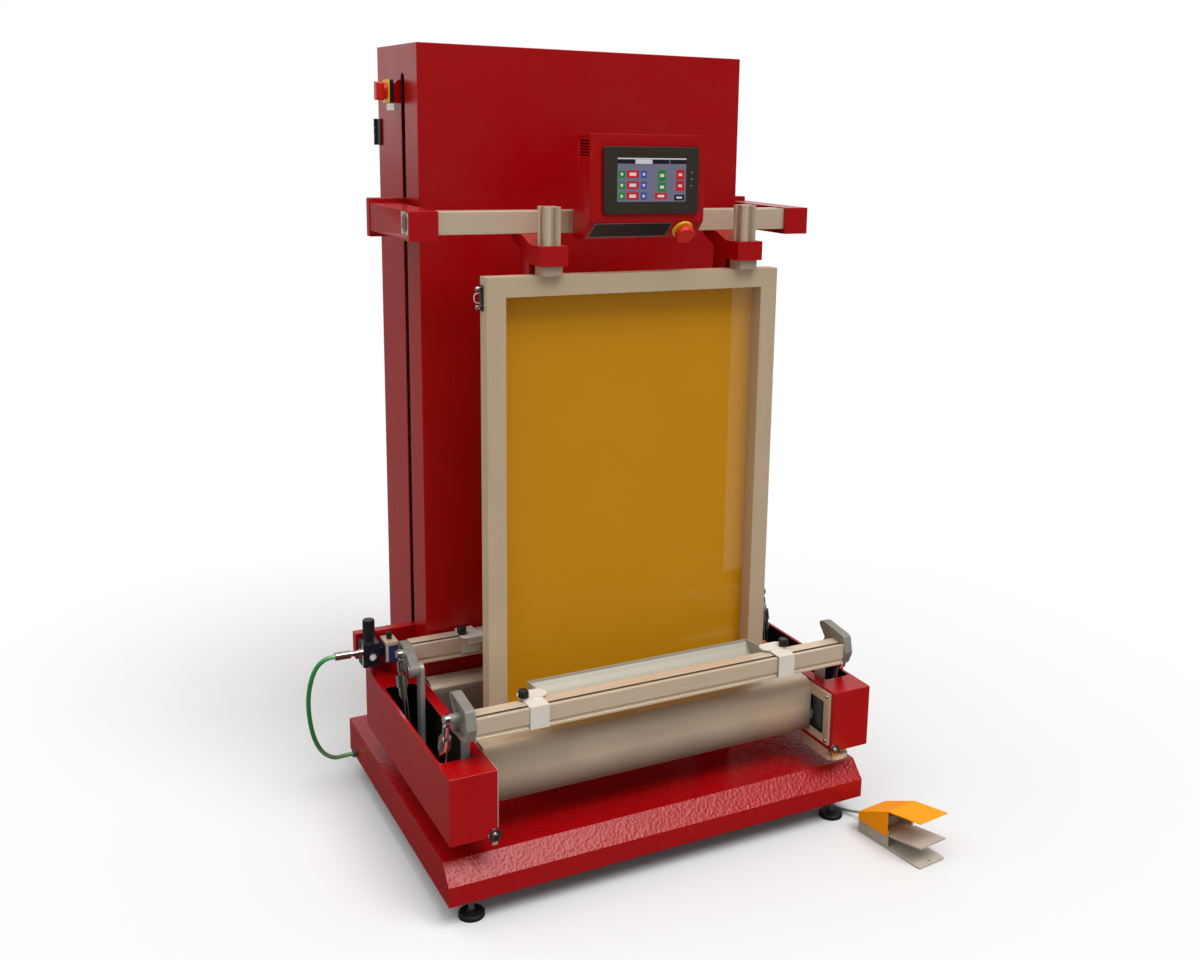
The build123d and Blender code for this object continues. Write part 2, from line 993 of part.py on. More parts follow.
def side_plates():
    inner = box_inner - plate_thickness
    front = block(inner, box_inner, front_plate_front, front_plate_back, plate_bottom, plate_top)
    front -= window_block(inner - overlap, box_inner + overlap)
    rear = block(inner, box_inner, rear_plate_front, rear_plate_back, plate_bottom, plate_top)
    washer_face = box_front - skid_washer_depth
    bolt = round_y(skid_bolt_x, washer_face, box_front, skid_bolt_z, skid_washer)
    bolt_end = washer_face - skid_bolt_depth
    bolt += round_y(skid_bolt_x, bolt_end, washer_face + overlap, skid_bolt_z, skid_bolt_radius)
    bolt += block(
        skid_bolt_x - skid_lug / 2,
        skid_bolt_x + skid_lug / 2,
        washer_face + overlap,
        box_front,
        box_bottom - skid_drop,
        skid_bolt_z,
    )
    plates = [skid()]
    for piece in (front, rear, bolt):
        plates += both_sides(piece)
    return plates


# The right box alone has a skid: a plate with one round corner, hung below it on a web
def skid():
    top = box_bottom - skid_drop
    plate = block(skid_inner, skid_outer, skid_front, skid_back, top - skid_thickness, top)
    plate = fillet(plate.edges().filter_by(Axis.Z).group_by(Axis.Y)[0], skid_corner)
    web_end = skid_inner + skid_web
    return plate + block(skid_inner, web_end, skid_front + skid_corner, skid_back, top - 1, box_bottom)


def cross_beam(y0, depth):
    half = box_inner - plate_thickness
    top = beam_bottom + beam_height
    wall = beam_wall
    outer = block(-half, half, y0, y0 + depth, beam_bottom, top)
    crown = outer.edges().filter_by(Axis.X).group_by(Axis.Z)[-1].sort_by(Axis.Y)[0]
    outer = fillet(crown, beam_round)
    cut = half + overlap
    inner = block(-cut, cut, y0 + wall, y0 + depth - wall, beam_bottom + wall, top - wall)
    crown = inner.edges().filter_by(Axis.X).group_by(Axis.Z)[-1].sort_by(Axis.Y)[0]
    inner = fillet(crown, beam_round - wall)
    return outer - inner


# Coater stand: a shoe that slides on the box rail, the post with its pivot pin, and a clevis
def trolley(eye_x):
    side_gap = side_rail_width / 2 + slide_gap
    reach = side_gap + cheek_width
    foot_half = barrel_foot / 2 + pivot_play
    outer = eye_x + foot_half + clevis_ear
    shoe = block(side_rail_x - reach, outer, trolley_front, trolley_back, trolley_bottom, trolley_top)
    shoe += block(post_inner, side_rail_x, trolley_front, trolley_back, trolley_bottom, trolley_top)
    for x in (side_rail_x - reach, side_rail_x + side_gap):
        cheek_bottom = box_floor + overlap
        shoe += block(x, x + cheek_width, trolley_front, trolley_back, cheek_bottom, trolley_top)
    post_outer = post_inner + post_thickness
    half = post_width / 2
    post = block(post_inner, post_outer, pivot_y - half, pivot_y + half, trolley_top - overlap, pivot_z)
    post += round_x(post_inner, post_outer, pivot_y, pivot_z, half)
    cap_start = wing_outer + slide_gap
    pin = round_x(post_inner, cap_start, pivot_y, pivot_z, pivot_pin)
    pin += round_x(cap_start, cap_start + pivot_cap, pivot_y, pivot_z, pivot_pin + pivot_cap)
    stand = shoe + post + pin
    for x in (eye_x - foot_half - clevis_ear, eye_x + foot_half):
        stand += block(
            x,
            x + clevis_ear,
            foot_pin_y - clevis_radius,
            foot_pin_y + clevis_radius,
            trolley_top - overlap,
            foot_pin_z,
        )
        stand += round_x(x, x + clevis_ear, foot_pin_y, foot_pin_z, clevis_radius)
    pin_half = foot_half + clevis_ear
    stand += round_x(eye_x - pin_half, eye_x + pin_half, foot_pin_y, foot_pin_z, clevis_pin)
    return both_sides(stand)


# Coater bar: a square aluminium tube with a groove in its top and one in its front
def coater_profile(y0):
    y1 = y0 + coater_bar
    cut = coater_bar_half + overlap
    bar = block(-coater_bar_half, coater_bar_half, y0, y1, coater_bar_bottom, coater_bar_top)
    bar -= block(
        -cut,
        cut,
        y0 + bar_wall,
        y1 - bar_wall,
        coater_bar_bottom + bar_wall,
        coater_bar_top - bar_wall,
    )
    groove_y = y0 + bar_wall + groove_width / 2
    groove_end = groove_y + groove_width
    bar -= block(-cut, cut, groove_y, groove_end, coater_bar_top - groove_depth, coater_bar_top + overlap)
    groove_z = coater_bar_bottom + bar_wall
    bar -= block(-cut, cut, y0 - overlap, y0 + groove_depth, groove_z, groove_z + groove_width)
    return bar


# End castings of the coaters: a web with a rim, a boss on the pivot and a pin for the cylinder
def wing(outline, eye_x, boss_radius):
    face = side_face(outline)
    pocket = offset(face, amount=-wing_rim, kind=Kind.INTERSECTION)
    plate = extrude(Plane.YZ.offset(wing_inner) * fillet(face.vertices(), wing_round), amount=wing_thickness)
    web_face = wing_inner + wing_web
    plate -= extrude(Plane.YZ.offset(web_face) * pocket, amount=wing_thickness)
    plate += round_x(wing_inner, wing_outer, pivot_y, pivot_z, pivot_boss)
    eye_half = eye_thickness / 2 + pivot_play
    plate += round_x(web_face - overlap, eye_x - eye_half, pin_y, pin_z, boss_radius)
    pin_end = eye_x + eye_half
    cap_end = pin_end + eye_pin_cap
    plate += round_x(eye_x - eye_half - overlap, cap_end, pin_y, pin_z, eye_pin)
    plate += round_x(pin_end, cap_end, pin_y, pin_z, eye_pin + eye_pin_cap)
    bore = pivot_pin + running_fit
    return plate - round_x(wing_inner - overlap, wing_outer + overlap, pivot_y, pivot_z, bore)


def front_wing():
    outline = [
        (coater_bar_front + 7, coater_bar_bottom - 3),
        (coater_bar_front - 6, coater_bar_bottom + 26),
        (coater_bar_front + 5, coater_bar_top + 18),
        (pivot_y + 2, coater_bar_top + 27),
        (pivot_y + 24, coater_bar_top + 22),
        (pivot_y - 6, coater_bar_top - 10),
        (pivot_y + 14, pivot_z + 10),
        (pivot_y + 10, pivot_z - 12),
        (pivot_y - 22, pivot_z - 12),
    ]
    return both_sides(wing(outline, front_eye_x, front_eye_boss))


def rear_wing():
    outline = [
        (coater_bar_front, coater_bar_top),
        (coater_bar_front, coater_bar_bottom + 18),
        (coater_bar_back + 5, pivot_z - 13),
        (pivot_y + 2, pivot_z - 14),
        (pivot_y + 14, pivot_z + 6),
        (pivot_y - 16, pivot_z + 30),
        (pivot_y - 44, coater_bar_top),
    ]
    return [to_rear(piece) for piece in both_sides(wing(outline, rear_eye_x, rear_eye_boss))]


# Scoop trough: an open gutter with a straight lip, closed ends and an ear at each end
def trough():
    with BuildLine() as profile:
        heel = (trough_back_y, trough_floor_z + trough_heel_rise)
        Line((trough_back_y, trough_back_z), heel)
        RadiusArc(heel, (trough_floor_front, trough_floor_z), -trough_heel_radius)
        Line((trough_floor_front, trough_floor_z), (trough_floor_back, trough_floor_z))
        lip = (trough_lip_y, trough_lip_z)
        RadiusArc((trough_floor_back, trough_floor_z), lip, -trough_belly_radius)
        Line(lip, (trough_back_y, trough_back_z))
    section = make_face(profile.line)
    body = extrude(Plane.YZ.offset(-trough_half) * section, amount=2 * trough_half)
    hollow = offset(section, amount=-trough_wall, kind=Kind.INTERSECTION)
    inner_half = trough_half - trough_wall
    body -= extrude(Plane.YZ.offset(-inner_half) * hollow, amount=2 * inner_half)
    mouth_depth = trough_wall + trough_mouth_drop
    mouth = [
        (trough_back_y + trough_wall, trough_back_z + trough_mouth_lip),
        (trough_back_y + trough_wall, trough_back_z - mouth_depth),
        (trough_lip_y - 2 * trough_wall, trough_lip_z - mouth_depth + overlap),
        (trough_lip_y - trough_wall, trough_back_z),
    ]
    body -= side_extrusion(mouth, -inner_half, inner_half)
    ear_y = trough_back_y + trough_ear_inset
    ear_bottom = trough_back_z - trough_ear_height
    ear_top = coater_bar_top + clip_thickness
    for x0, x1 in ((-clip_left - clip_tab / 4, -inner_half), (inner_half, clip_right + clip_tab / 2)):
        body += block(x0, x1, ear_y, ear_y + trough_ear, ear_bottom, ear_top)
    return body


# Clip: a strap over the coater bar, with an oval plate that holds the trough's ear down
def trough_clip(x, plate_start, thumb_x):
    half = clip_tab / 2
    front = coater_bar_front - slide_gap
    back = coater_bar_back + slide_gap
    top = coater_bar_top + slide_gap
    plate_bottom_z = coater_bar_top + clip_thickness
    clip = block(x - half, x + half, front - clip_thickness, front, coater_bar_bottom + clip_foot, top)
    clip += block(x - half, x + half, front - clip_thickness, back + clip_back, top, plate_bottom_z)
    clip += block(x - half, x + half, back, back + clip_back, coater_bar_bottom + clip_back_foot, top)
    plate = block(
        plate_start,
        plate_start + clip_plate,
        clip_plate_y - clip_plate_depth / 2,
        clip_plate_y + clip_plate_depth / 2,
        plate_bottom_z,
        plate_bottom_z + clip_plate_thickness,
    )
    plate = fillet(plate.edges().filter_by(Axis.Z), clip_plate_depth / 2 - 1)
    clip += plate
    stem = thumb_stem + running_fit
    top_z = plate_bottom_z + clip_plate_thickness
    return clip - round_z(thumb_x, thumb_y(), coater_bar_top + slide_gap, top_z + overlap, stem)


def thumb_y():
    return clip_plate_y - clip_plate_depth / 4


def thumb_left_x():
    return -clip_left - thumb_offset


def thumb_right_x():
    return clip_right + thumb_offset


def trough_set():
    reach = clip_tab / 2 + clip_plate_side
    left = trough_clip(-clip_left, -clip_left - reach, thumb_left_x())
    right = trough_clip(clip_right, clip_right + reach - clip_plate, thumb_right_x())
    return [trough(), left, right]


def thumb_knob(x):
    base = coater_bar_top + clip_thickness + clip_plate_thickness + slide_gap
    head = round_z(x, thumb_y(), base, base + thumb_height, thumb_radius)
    head = fillet(head.edges().group_by(Axis.Z)[-1], thumb_round)
    return head + round_z(x, thumb_y(), coater_bar_top + 2 * slide_gap, base + overlap, thumb_stem)


# Air cylinders: the barrel hangs in the stand's clevis and the rod's eye sits on the wing's pin
def cylinder_barrel(eye_x):
    half = barrel_foot / 2
    nut_end = barrel_reach + nut_length
    barrel = round_x(eye_x - half, eye_x + half, foot_pin_y, foot_pin_z, clevis_radius)
    barrel += cylinder_round(0, barrel_reach, eye_x, half)
    barrel += cylinder_round(barrel_start, barrel_reach, eye_x, barrel_radius)
    barrel += cylinder_round(barrel_reach, nut_end, eye_x, nut_radius)
    barrel -= cylinder_round(bore_start, barrel_reach, eye_x, barrel_bore)
    barrel -= cylinder_round(barrel_reach - overlap, nut_end + overlap, eye_x, rod_radius + running_fit)
    cut = half + overlap
    barrel -= round_x(eye_x - cut, eye_x + cut, foot_pin_y, foot_pin_z, clevis_pin + running_fit)
    return both_sides(barrel)


def cylinder_round(start, end, x, radius):
    return bar_between(along_cylinder(start, x), along_cylinder(end, x), radius)


def cylinder_rod(eye_x):
    half = eye_thickness / 2
    eye = round_x(eye_x - half, eye_x + half, pin_y, pin_z, eye_radius)
    shank_end = cylinder_length - shank_reach
    shank_start = cylinder_length - eye_radius - eye_neck_length
    eye += cylinder_round(shank_end, shank_start, eye_x, shank_radius)
    eye += cylinder_round(shank_start - overlap, cylinder_length, eye_x, eye_neck)
    cut = shank_radius + overlap
    eye -= round_x(eye_x - cut, eye_x + cut, pin_y, pin_z, eye_pin + eye_clearance)
    piston = (bore_start + barrel_reach) / 2
    rod = cylinder_round(piston, shank_end + overlap, eye_x, rod_radius)
    rod += cylinder_round(piston - piston_half, piston + piston_half, eye_x, barrel_bore - running_fit)
    return both_sides(eye + rod)


# Air unit: regulator with gauge and knob, valve block with knob, and the hose coupling
def air_unit():
    body = block(regulator_left, regulator_right, air_front, air_back, regulator_bottom, regulator_top)
    body = fillet(body.edges().filter_by(Axis.Z), air_round)
    knob_x = (regulator_left + regulator_right) / 2
    air_y = (air_front + air_back) / 2
    neck_top = regulator_top + neck_height
    body += round_z(knob_x, air_y, regulator_top - overlap, neck_top, neck_radius)
    gauge_z = (regulator_bottom + regulator_top) / 2 - gauge_drop
    body += round_y(knob_x, air_front - gauge_depth, air_front + overlap, gauge_z, gauge_radius)
    body += block(
        regulator_right - overlap,
        valve_left + overlap,
        air_y - air_link,
        air_y + air_link,
        valve_bottom + air_link_margin,
        valve_top - air_link_margin,
    )
    valve = block(valve_left, valve_right, air_front, air_back, valve_bottom, valve_top)
    body += fillet(valve.edges().filter_by(Axis.Z), air_round)
    foot_bottom = valve_bottom + air_foot_height
    foot_top = valve_top - air_foot_height
    for left, right, margin in (
        (regulator_left, regulator_right, air_foot_margin),
        (valve_left, valve_right, valve_foot_margin),
    ):
        body += block(left + margin, right - margin, air_back - overlap, bar_front, foot_bottom, foot_top)
    valve_x = (valve_left + valve_right) / 2
    bore = knob_stem + running_fit
    body -= round_z(knob_x, air_y, regulator_top - knob_bore_depth, neck_top + overlap, bore)
    return body - round_z(valve_x, air_y, valve_top - knob_bore_depth, valve_top + overlap, bore)


def regulator_knob():
    x = (regulator_left + regulator_right) / 2
    y = (air_front + air_back) / 2
    base = regulator_top + neck_height + slide_gap
    knob = round_z(x, y, base, base + regulator_knob_height, regulator_knob_radius)
    knob = fillet(knob.edges().group_by(Axis.Z)[-1], regulator_knob_round)
    return knob + round_z(x, y, regulator_top - knob_stem_depth, base + overlap, knob_stem)


def valve_knob():
    x = (valve_left + valve_right) / 2
    y = (air_front + air_back) / 2
    base = valve_top + slide_gap
    knob = round_z(x, y, base, base + valve_knob_height, valve_knob_radius)
    return knob + round_z(x, y, valve_top - knob_stem_depth, base + overlap, knob_stem)


def air_coupling():
    body_end = coupling_end + coupling_body
    collar = regulator_left - coupling_collar
    neck = coupling_radius - coupling_neck
    socket = round_x(coupling_end, body_end, coupling_y, coupling_z, coupling_radius)
    socket += round_x(body_end - overlap, collar + overlap, coupling_y, coupling_z, neck)
    return socket + round_x(collar, regulator_left, coupling_y, coupling_z, coupling_radius - 1)


# Holder: plate through the slots, two arms and the square bar they carry
def holder_plate():
    top = holder_plate_bottom + holder_plate_height
    return block(-holder_plate_half, holder_plate_half, bar_front, bar_back, holder_plate_bottom, top)


def holder_arms():
    arm = block(arm_inner, arm_outer, arm_front, bar_front, arm_bottom, arm_top)
    arm -= block(
        arm_inner + sheet,
        arm_outer - sheet,
        arm_front + sheet,
        bar_front - sheet,
        arm_bottom + sheet,
        arm_top - sheet,
    )
    passage = bar_block(arm_inner - overlap, arm_outer + overlap, slide_gap)
    return both_sides(arm - passage)


def bar_block(x0, x1, gap):
    return block(
        x0,
        x1,
        holder_bar_y - gap,
        holder_bar_y + coater_bar + gap,
        holder_bar_z - gap,
        holder_bar_z + coater_bar + gap,
    )


def holder_bar():
    cut = arm_outer + overlap
    bar = bar_block(-arm_outer, arm_outer, 0)
    bar -= bar_block(-cut, cut, -bar_wall)
    tee = tee_middle()
    bar -= block(
        -cut,
        cut,
        tee - tee_width / 2,
        tee + tee_width / 2,
        holder_bar_z - overlap,
        holder_bar_z + bar_wall + overlap,
    )
    groove_y = holder_bar_y + bar_wall
    top = holder_bar_z + coater_bar
    return bar - block(-cut, cut, groove_y, groove_y + groove_width, top - groove_depth, top + overlap)


def tee_middle():
    return holder_bar_y + coater_bar / 2


# Operator box: upright front, a lower panel that slopes back, and a bracket to the bar
def operator_box():
    outline = [
        (console_back, console_top),
        (console_front, console_top),
        (console_front, console_break),
        (console_slope_back, console_bottom),
        (console_back, console_bottom),
    ]
    shell = side_extrusion(outline, -console_half, console_half)
    inset = offset(side_face(outline), amount=-console_wall, kind=Kind.INTERSECTION)
    inner_half = console_half - console_wall
    shell -= extrude(Plane.YZ.offset(-inner_half) * inset, amount=2 * inner_half)
    bracket_start = console_back - overlap
    shell += block(-bracket_half, bracket_half, bracket_start, holder_bar_y, bracket_bottom, bracket_top)
    shell -= block(
        bezel_left + module_inset,
        bezel_right - module_inset,
        console_front - overlap,
        console_front + console_wall + overlap,
        bezel_bottom + module_inset,
        bezel_top - module_inset,
    )
    for index in range(louvre_count):
        z0 = louvre_bottom + index * louvre_pitch
        z1 = z0 + louvre_slot
        shell -= block(-console_half - overlap, overlap - inner_half, louvre_front, louvre_back, z0, z1)
    shell += stop_round(-console_wall, stop_collar_height, stop_collar)
    bore = stop_stem + running_fit
    return shell - stop_round(-2 * console_wall, stop_collar_height + overlap, bore)


def slope_normal():
    along_y = console_slope_back - console_front
    along_z = console_bottom - console_break
    length = sqrt(along_y**2 + along_z**2)
    return along_z / length, -along_y / length


def stop_round(start, end, radius):
    normal_y, normal_z = slope_normal()
    middle_y = (console_front + console_slope_back) / 2
    middle_z = (console_break + console_bottom) / 2
    ends = [(stop_x, middle_y + normal_y * reach, middle_z + normal_z * reach) for reach in (start, end)]
    return bar_between(ends[0], ends[1], radius)


def estop_button():
    start = stop_collar_height + stop_travel + stop_gap
    head = stop_round(start, start + stop_head_height, stop_head)
    head = fillet(head.edges().sort_by(Axis.Y)[0], stop_head_round)
    return head + stop_round(-stop_stem_length, start + overlap, stop_stem)


def touch_panel():
    bezel = block(
        bezel_left, bezel_right, console_front - bezel_depth, console_front, bezel_bottom, bezel_top
    )
    bezel = fillet(bezel.edges().filter_by(Axis.Y), bezel_round)
    gap = module_inset + slide_gap
    body = block(
        bezel_left + gap,
        bezel_right - gap,
        console_front - overlap,
        console_front + module_reach,
        bezel_bottom + gap,
        bezel_top - gap,
    )
    return bezel + body


# Clamps: a red bracket that slides on the bar, and a post with the press foot
def clamp_bracket(x):
    half = clamp_width / 2
    under_bar = holder_bar_z - slide_gap
    bar_back_y = holder_bar_y + coater_bar
    outline = [
        (clamp_front, clamp_bottom),
        (clamp_front, clamp_shoulder),
        (clamp_slope_start, clamp_shoulder),
        (clamp_slope_end, under_bar),
        (bar_back_y, under_bar),
        (bar_back_y, under_bar - clamp_seat),
        (back_stop_back, back_stop_root),
        (back_stop_back, back_stop_bottom),
        (back_stop_front, back_stop_bottom),
        (back_stop_front, clamp_bottom),
    ]
    bracket = side_extrusion(outline, x - half, x + half)
    tee_half = tee_width / 2 - slide_gap
    tee_front = tee_middle() - tee_half
    tee_back = tee_middle() + tee_half
    bracket += block(x - half, x + half, tee_front, tee_back, under_bar - overlap, holder_bar_z + tee_reach)
    pocket_top = clamp_bottom + pocket_height
    bracket -= post_block(x, pocket_size / 2, clamp_bottom - overlap, pocket_top)
    hole = post_size / 2 + sliding_post_gap
    return bracket - post_block(x, hole, clamp_bottom, clamp_shoulder + overlap)


def post_block(x, half, z0, z1):
    return block(x - half, x + half, post_y - half, post_y + half, z0, z1)


def clamp_post(x):
    bottom = screen_top + slide_gap
    half = post_size / 2
    foot_top = bottom + press_foot_height
    post = post_block(x, half, foot_top - overlap, post_top)
    slot = groove_width / 2
    for dx, dy in ((1, 0), (-1, 0), (0, 1), (0, -1)):
        x_mid = x + dx * half
        y_mid = post_y + dy * half
        across_x = slot if dy else groove_depth
        across_y = slot if dx else groove_depth
        post -= block(
            x_mid - across_x,
            x_mid + across_x,
            y_mid - across_y,
            y_mid + across_y,
            foot_top,
            post_top + overlap,
        )
    return post + post_block(x, press_foot / 2, bottom, foot_top)


# Screen: welded frame, a bolted fitting on its left side and a small knob on its right, and the
# taut mesh glued to its rear face
def screen_frame():
    frame = block(-screen_half, screen_half, screen_front, screen_back, screen_bottom, screen_top)
    frame -= block(
        -screen_half + screen_profile,
        screen_half - screen_profile,
        screen_front - overlap,
        screen_back + overlap,
        screen_bottom + screen_profile,
        screen_top - screen_profile,
    )
    fitting = block(
        -screen_half - fitting_thickness,
        -screen_half,
        fitting_front,
        fitting_front + fitting_width,
        fitting_bottom,
        fitting_bottom + fitting_height,
    )
    middle = fitting_front + fitting_width / 2
    plate_face = -screen_half - fitting_thickness
    bolt_end = plate_face - fitting_bolt_length
    for z in (fitting_bottom + fitting_bolt_margin, fitting_bottom + fitting_height - fitting_bolt_margin):
        fitting += round_x(bolt_end, plate_face + overlap, middle, z, fitting_bolt)
    knob_z = fitting_bottom + fitting_height / 2
    knob = round_x(screen_half, screen_half + fitting_bolt_length, middle, knob_z, fitting_bolt)
    return [frame, fitting, knob]


def screen_mesh():
    edge = screen_half - mesh_lap
    return block(
        -edge,
        edge,
        screen_back,
        screen_back + mesh_thickness,
        screen_bottom + mesh_lap,
        screen_top - mesh_lap,
    )


def screen_rests():
    slot_start = screen_front - rest_gap
    slot_end = screen_back + mesh_thickness + rest_gap
    half = rest_width / 2
    top = screen_bottom + rest_lip_height
    rest = block(rest_x - half, rest_x + half, slot_start - rest_lip, slot_end + rest_lip, base_top, top)
    cut = half + overlap
    return both_sides(rest - block(rest_x - cut, rest_x + cut, slot_start, slot_end, screen_bottom, top + 1))


# Foot pedal
def place_pedal(shape):
    return Pos(pedal_x, pedal_y, 0) * Rot(0, 0, pedal_turn) * shape


def pedal_base():
    half = pedal_width / 2
    base = block(-half, half, -pedal_length, 0, 0, pedal_plate)
    base = fillet(base.edges().filter_by(Axis.Z), pedal_round)
    base -= round_z(0, pedal_hole_y, -overlap, pedal_plate + overlap, pedal_hole)
    seat = pedal_plate - overlap
    for side in both_sides(block(half - cheek_thickness, half, cheek_front, cheek_back, seat, cheek_top)):
        base += side
    body_half = half - cheek_thickness + overlap
    base += block(-body_half, body_half, pedal_body_front, pedal_body_back, seat, pedal_body_top)
    base += round_x(-half, half, treadle_y, treadle_z, treadle_pin)
    base += round_y(0, pedal_body_back - overlap, 0, pedal_gland_z, pedal_gland_flange)
    return place_pedal(base)


def treadle():
    half = pedal_width / 2 - cheek_thickness - treadle_side_gap
    tip = -pedal_length + treadle_inset
    ear = cheek_front - treadle_ear
    outline = [
        (treadle_y, treadle_start - treadle_thickness),
        (tip, treadle_tip - treadle_thickness),
        (tip, treadle_tip),
        (treadle_y, treadle_start),
    ]
    plate = side_extrusion(outline, -half, half)
    lip = [
        (tip, treadle_tip - treadle_thickness),
        (tip, treadle_tip),
        (ear, treadle_start + treadle_ear),
        (ear, treadle_start + treadle_ear - treadle_thickness),
    ]
    plate += side_extrusion(lip, -pedal_width / 2, pedal_width / 2)
    plate += round_x(-half, half, treadle_y, treadle_z, treadle_hub)
    cut = half + overlap
    plate -= round_x(-cut, cut, treadle_y, treadle_z, treadle_pin + running_fit)
    return place_pedal(plate)


def pedal_hood():
    half = pedal_width / 2
    outer = half + hood_thickness
    rear_y = pedal_body_back - hood_back_inset
    top_line = [
        (rear_y, hood_rear_z),
        (hood_ridge_y, hood_ridge_z),
        (hood_tip_y, hood_tip_z),
        (hood_tip_y, hood_tip_z - hood_thickness),
        (hood_ridge_y, hood_ridge_z - hood_thickness),
        (rear_y, pedal_body_top),
    ]
    hood = side_extrusion(top_line, -outer, outer)
    skirt = [
        (rear_y, hood_skirt_bottom),
        (rear_y, pedal_body_top + overlap),
        (hood_ridge_y, hood_ridge_z - overlap),
        (cheek_front, hood_skirt_bottom),
    ]
    for side in both_sides(side_extrusion(skirt, half, outer)):
        hood += side
    return place_pedal(hood)


# Glands, hose and cord
def cable_glands():
    face = -base_half
    hose = round_x(face - gland_reach, face, hose_gland_y, hose_gland_z, gland_flange)
    shank_end = face + base_wall + gland_shank_length
    hose += round_x(face - overlap, shank_end, hose_gland_y, hose_gland_z, gland_shank)
    under = ground_gap
    cord = round_z(cord_gland_x, cord_gland_y, under - cord_gland_reach, under, gland_flange)
    shank_top = under + cord_gland_shank
    cord += round_z(cord_gland_x, cord_gland_y, under - overlap, shank_top, gland_shank)
    return [hose, cord]


def cord_tube(points, radius, name):
    corners = []
    for before, point, after in zip(points, points[1:], points[2:]):
        run_in = Vector(*point) - Vector(*before)
        run_out = Vector(*after) - Vector(*point)
        half_turn = run_in.get_angle(run_out) / 2
        corners.append(0.45 * min(run_in.length, run_out.length) / tan(half_turn * pi / 180))
    print(name, "radii", [round(corner, 1) for corner in corners])
    path = FilletPolyline(*points, radius=corners)
    start = Vector(*points[1]) - Vector(*points[0])
    tube = sweep(Plane(origin=points[0], z_dir=start) * Circle(radius), path=path)
    print(name, "volume", round(tube.volume), "section by length", round(pi * radius**2 * path.length))
    return tube


def hose_route():
    return [
        (coupling_end, coupling_y, coupling_z),
        (coupling_end - 12.5, coupling_y, coupling_z),
        (-599.1, 41.5, 386.3),
        (-609.5, 44.5, 376.9),
        (-618, 49, 361.3),
        (-624.3, 57, 336.6),
        (-628.5, 68, 299),
        (-626.1, 84, 258),
        (-618.9, 103, 212.5),
        (-607.7, 124, 169),
        (-592.3, 148, 130.5),
        (-571.4, 176, 95),
        (-545.4, 200, 70.2),
        (-527, 213.9, 63.5),
        (-base_half - gland_reach - 14, hose_gland_y, hose_gland_z),
        (-base_half - gland_reach, hose_gland_y, hose_gland_z),
    ]


def pedal_cord_route():
    turn = pedal_turn * pi / 180
    end_x = pedal_x
    end_y = pedal_y
    back_x = -sin(turn)
    back_y = cos(turn)
    return [
        (cord_gland_x, cord_gland_y, ground_gap - cord_gland_reach),
        (cord_gland_x, cord_gland_y, 25),
        (cord_gland_x + 1.6, cord_gland_y - 7.8, 11.4),
        (cord_gland_x + 4.3, cord_gland_y - 21.4, 3.6),
        (cord_gland_x + 10, cord_gland_y - 48, 3.3),
        (cord_gland_x + 21, cord_gland_y - 86, 4.5),
        (cord_gland_x + 33, cord_gland_y - 117, 10),
        (cord_gland_x + 41, cord_gland_y - 139, 17),
        (end_x + 14 * back_x, end_y + 14 * back_y, pedal_gland_z),
        (end_x, end_y, pedal_gland_z),
    ]


# Origin: the floor under the middle of the whole set, from the air unit's coupling to the pedal
def origin_shift():
    base = pedal_base().bounding_box()
    hood = pedal_hood().bounding_box()
    tread = treadle().bounding_box()
    right = max(base.max.X, hood.max.X, tread.max.X)
    front = min(base.min.Y, hood.min.Y, tread.min.Y)
    left = min(coupling_end, -carriage_bar_half)
    back = max(door_lock().bounding_box().max.Y, door_hinges()[0].bounding_box().max.Y)
    return -(left + right) / 2, -(front + back) / 2


shift_x, shift_y = origin_shift()


def save(name, shape):
    pieces = shape if isinstance(shape, list) else [shape]
    moved = [Pos(shift_x, shift_y, 0) * piece for piece in pieces]
    export_step(moved[0] if len(moved) == 1 else Compound(children=moved), f"parts/{name}.step")


print("origin shift", round(shift_x, 3), round(shift_y, 3))

save("base_plinth", base_plinth())
for name, (x, y) in zip(("front_left", "rear_left", "front_right", "rear_right"), foot_places()):
    save(f"levelling_foot_{name}", levelling_foot(x, y))
save("column_shell", column_shell())
save("rear_door", rear_door())
save("door_hinges", door_hinges())
save("door_lock", door_lock())
save("lift_rails", lift_rails())
save("drive_motor", drive_motor())
save("drive_screw", drive_screw())
save("control_panel", control_panel())
save("main_switch", main_switch())
save("switch_handle", switch_handle())
save("screen_rests", screen_rests())

save("carriage_crossbar", carriage_crossbar())
save("carriage_blocks", carriage_blocks())
save("side_boxes", side_boxes())
save("side_plates", side_plates())
save("cross_beams", [cross_beam(front_beam_y, front_beam_depth), cross_beam(rear_beam_y, rear_beam_depth)])
save("air_unit", air_unit())
save("air_coupling", air_coupling())
save("regulator_knob", regulator_knob())
save("valve_knob", valve_knob())

save("front_trolley", trolley(front_eye_x))
save("front_coater_bar", coater_profile(coater_bar_front))
save("front_wings", front_wing())
save("front_trough", trough_set())
save("front_knob_left", thumb_knob(thumb_left_x()))
save("front_knob_right", thumb_knob(thumb_right_x()))
save("front_barrels", cylinder_barrel(front_eye_x))
save("front_rods", cylinder_rod(front_eye_x))

save("rear_trolley", [to_rear(piece) for piece in trolley(rear_eye_x)])
save("rear_coater_bar", coater_profile(2 * coater_middle - coater_bar_back))
save("rear_wings", rear_wing())
save("rear_trough", [to_rear(piece) for piece in trough_set()])
save("rear_knob_left", to_rear(thumb_knob(thumb_left_x())))
save("rear_knob_right", to_rear(thumb_knob(thumb_right_x())))
save("rear_barrels", [to_rear(piece) for piece in cylinder_barrel(rear_eye_x)])
save("rear_rods", [to_rear(piece) for piece in cylinder_rod(rear_eye_x)])

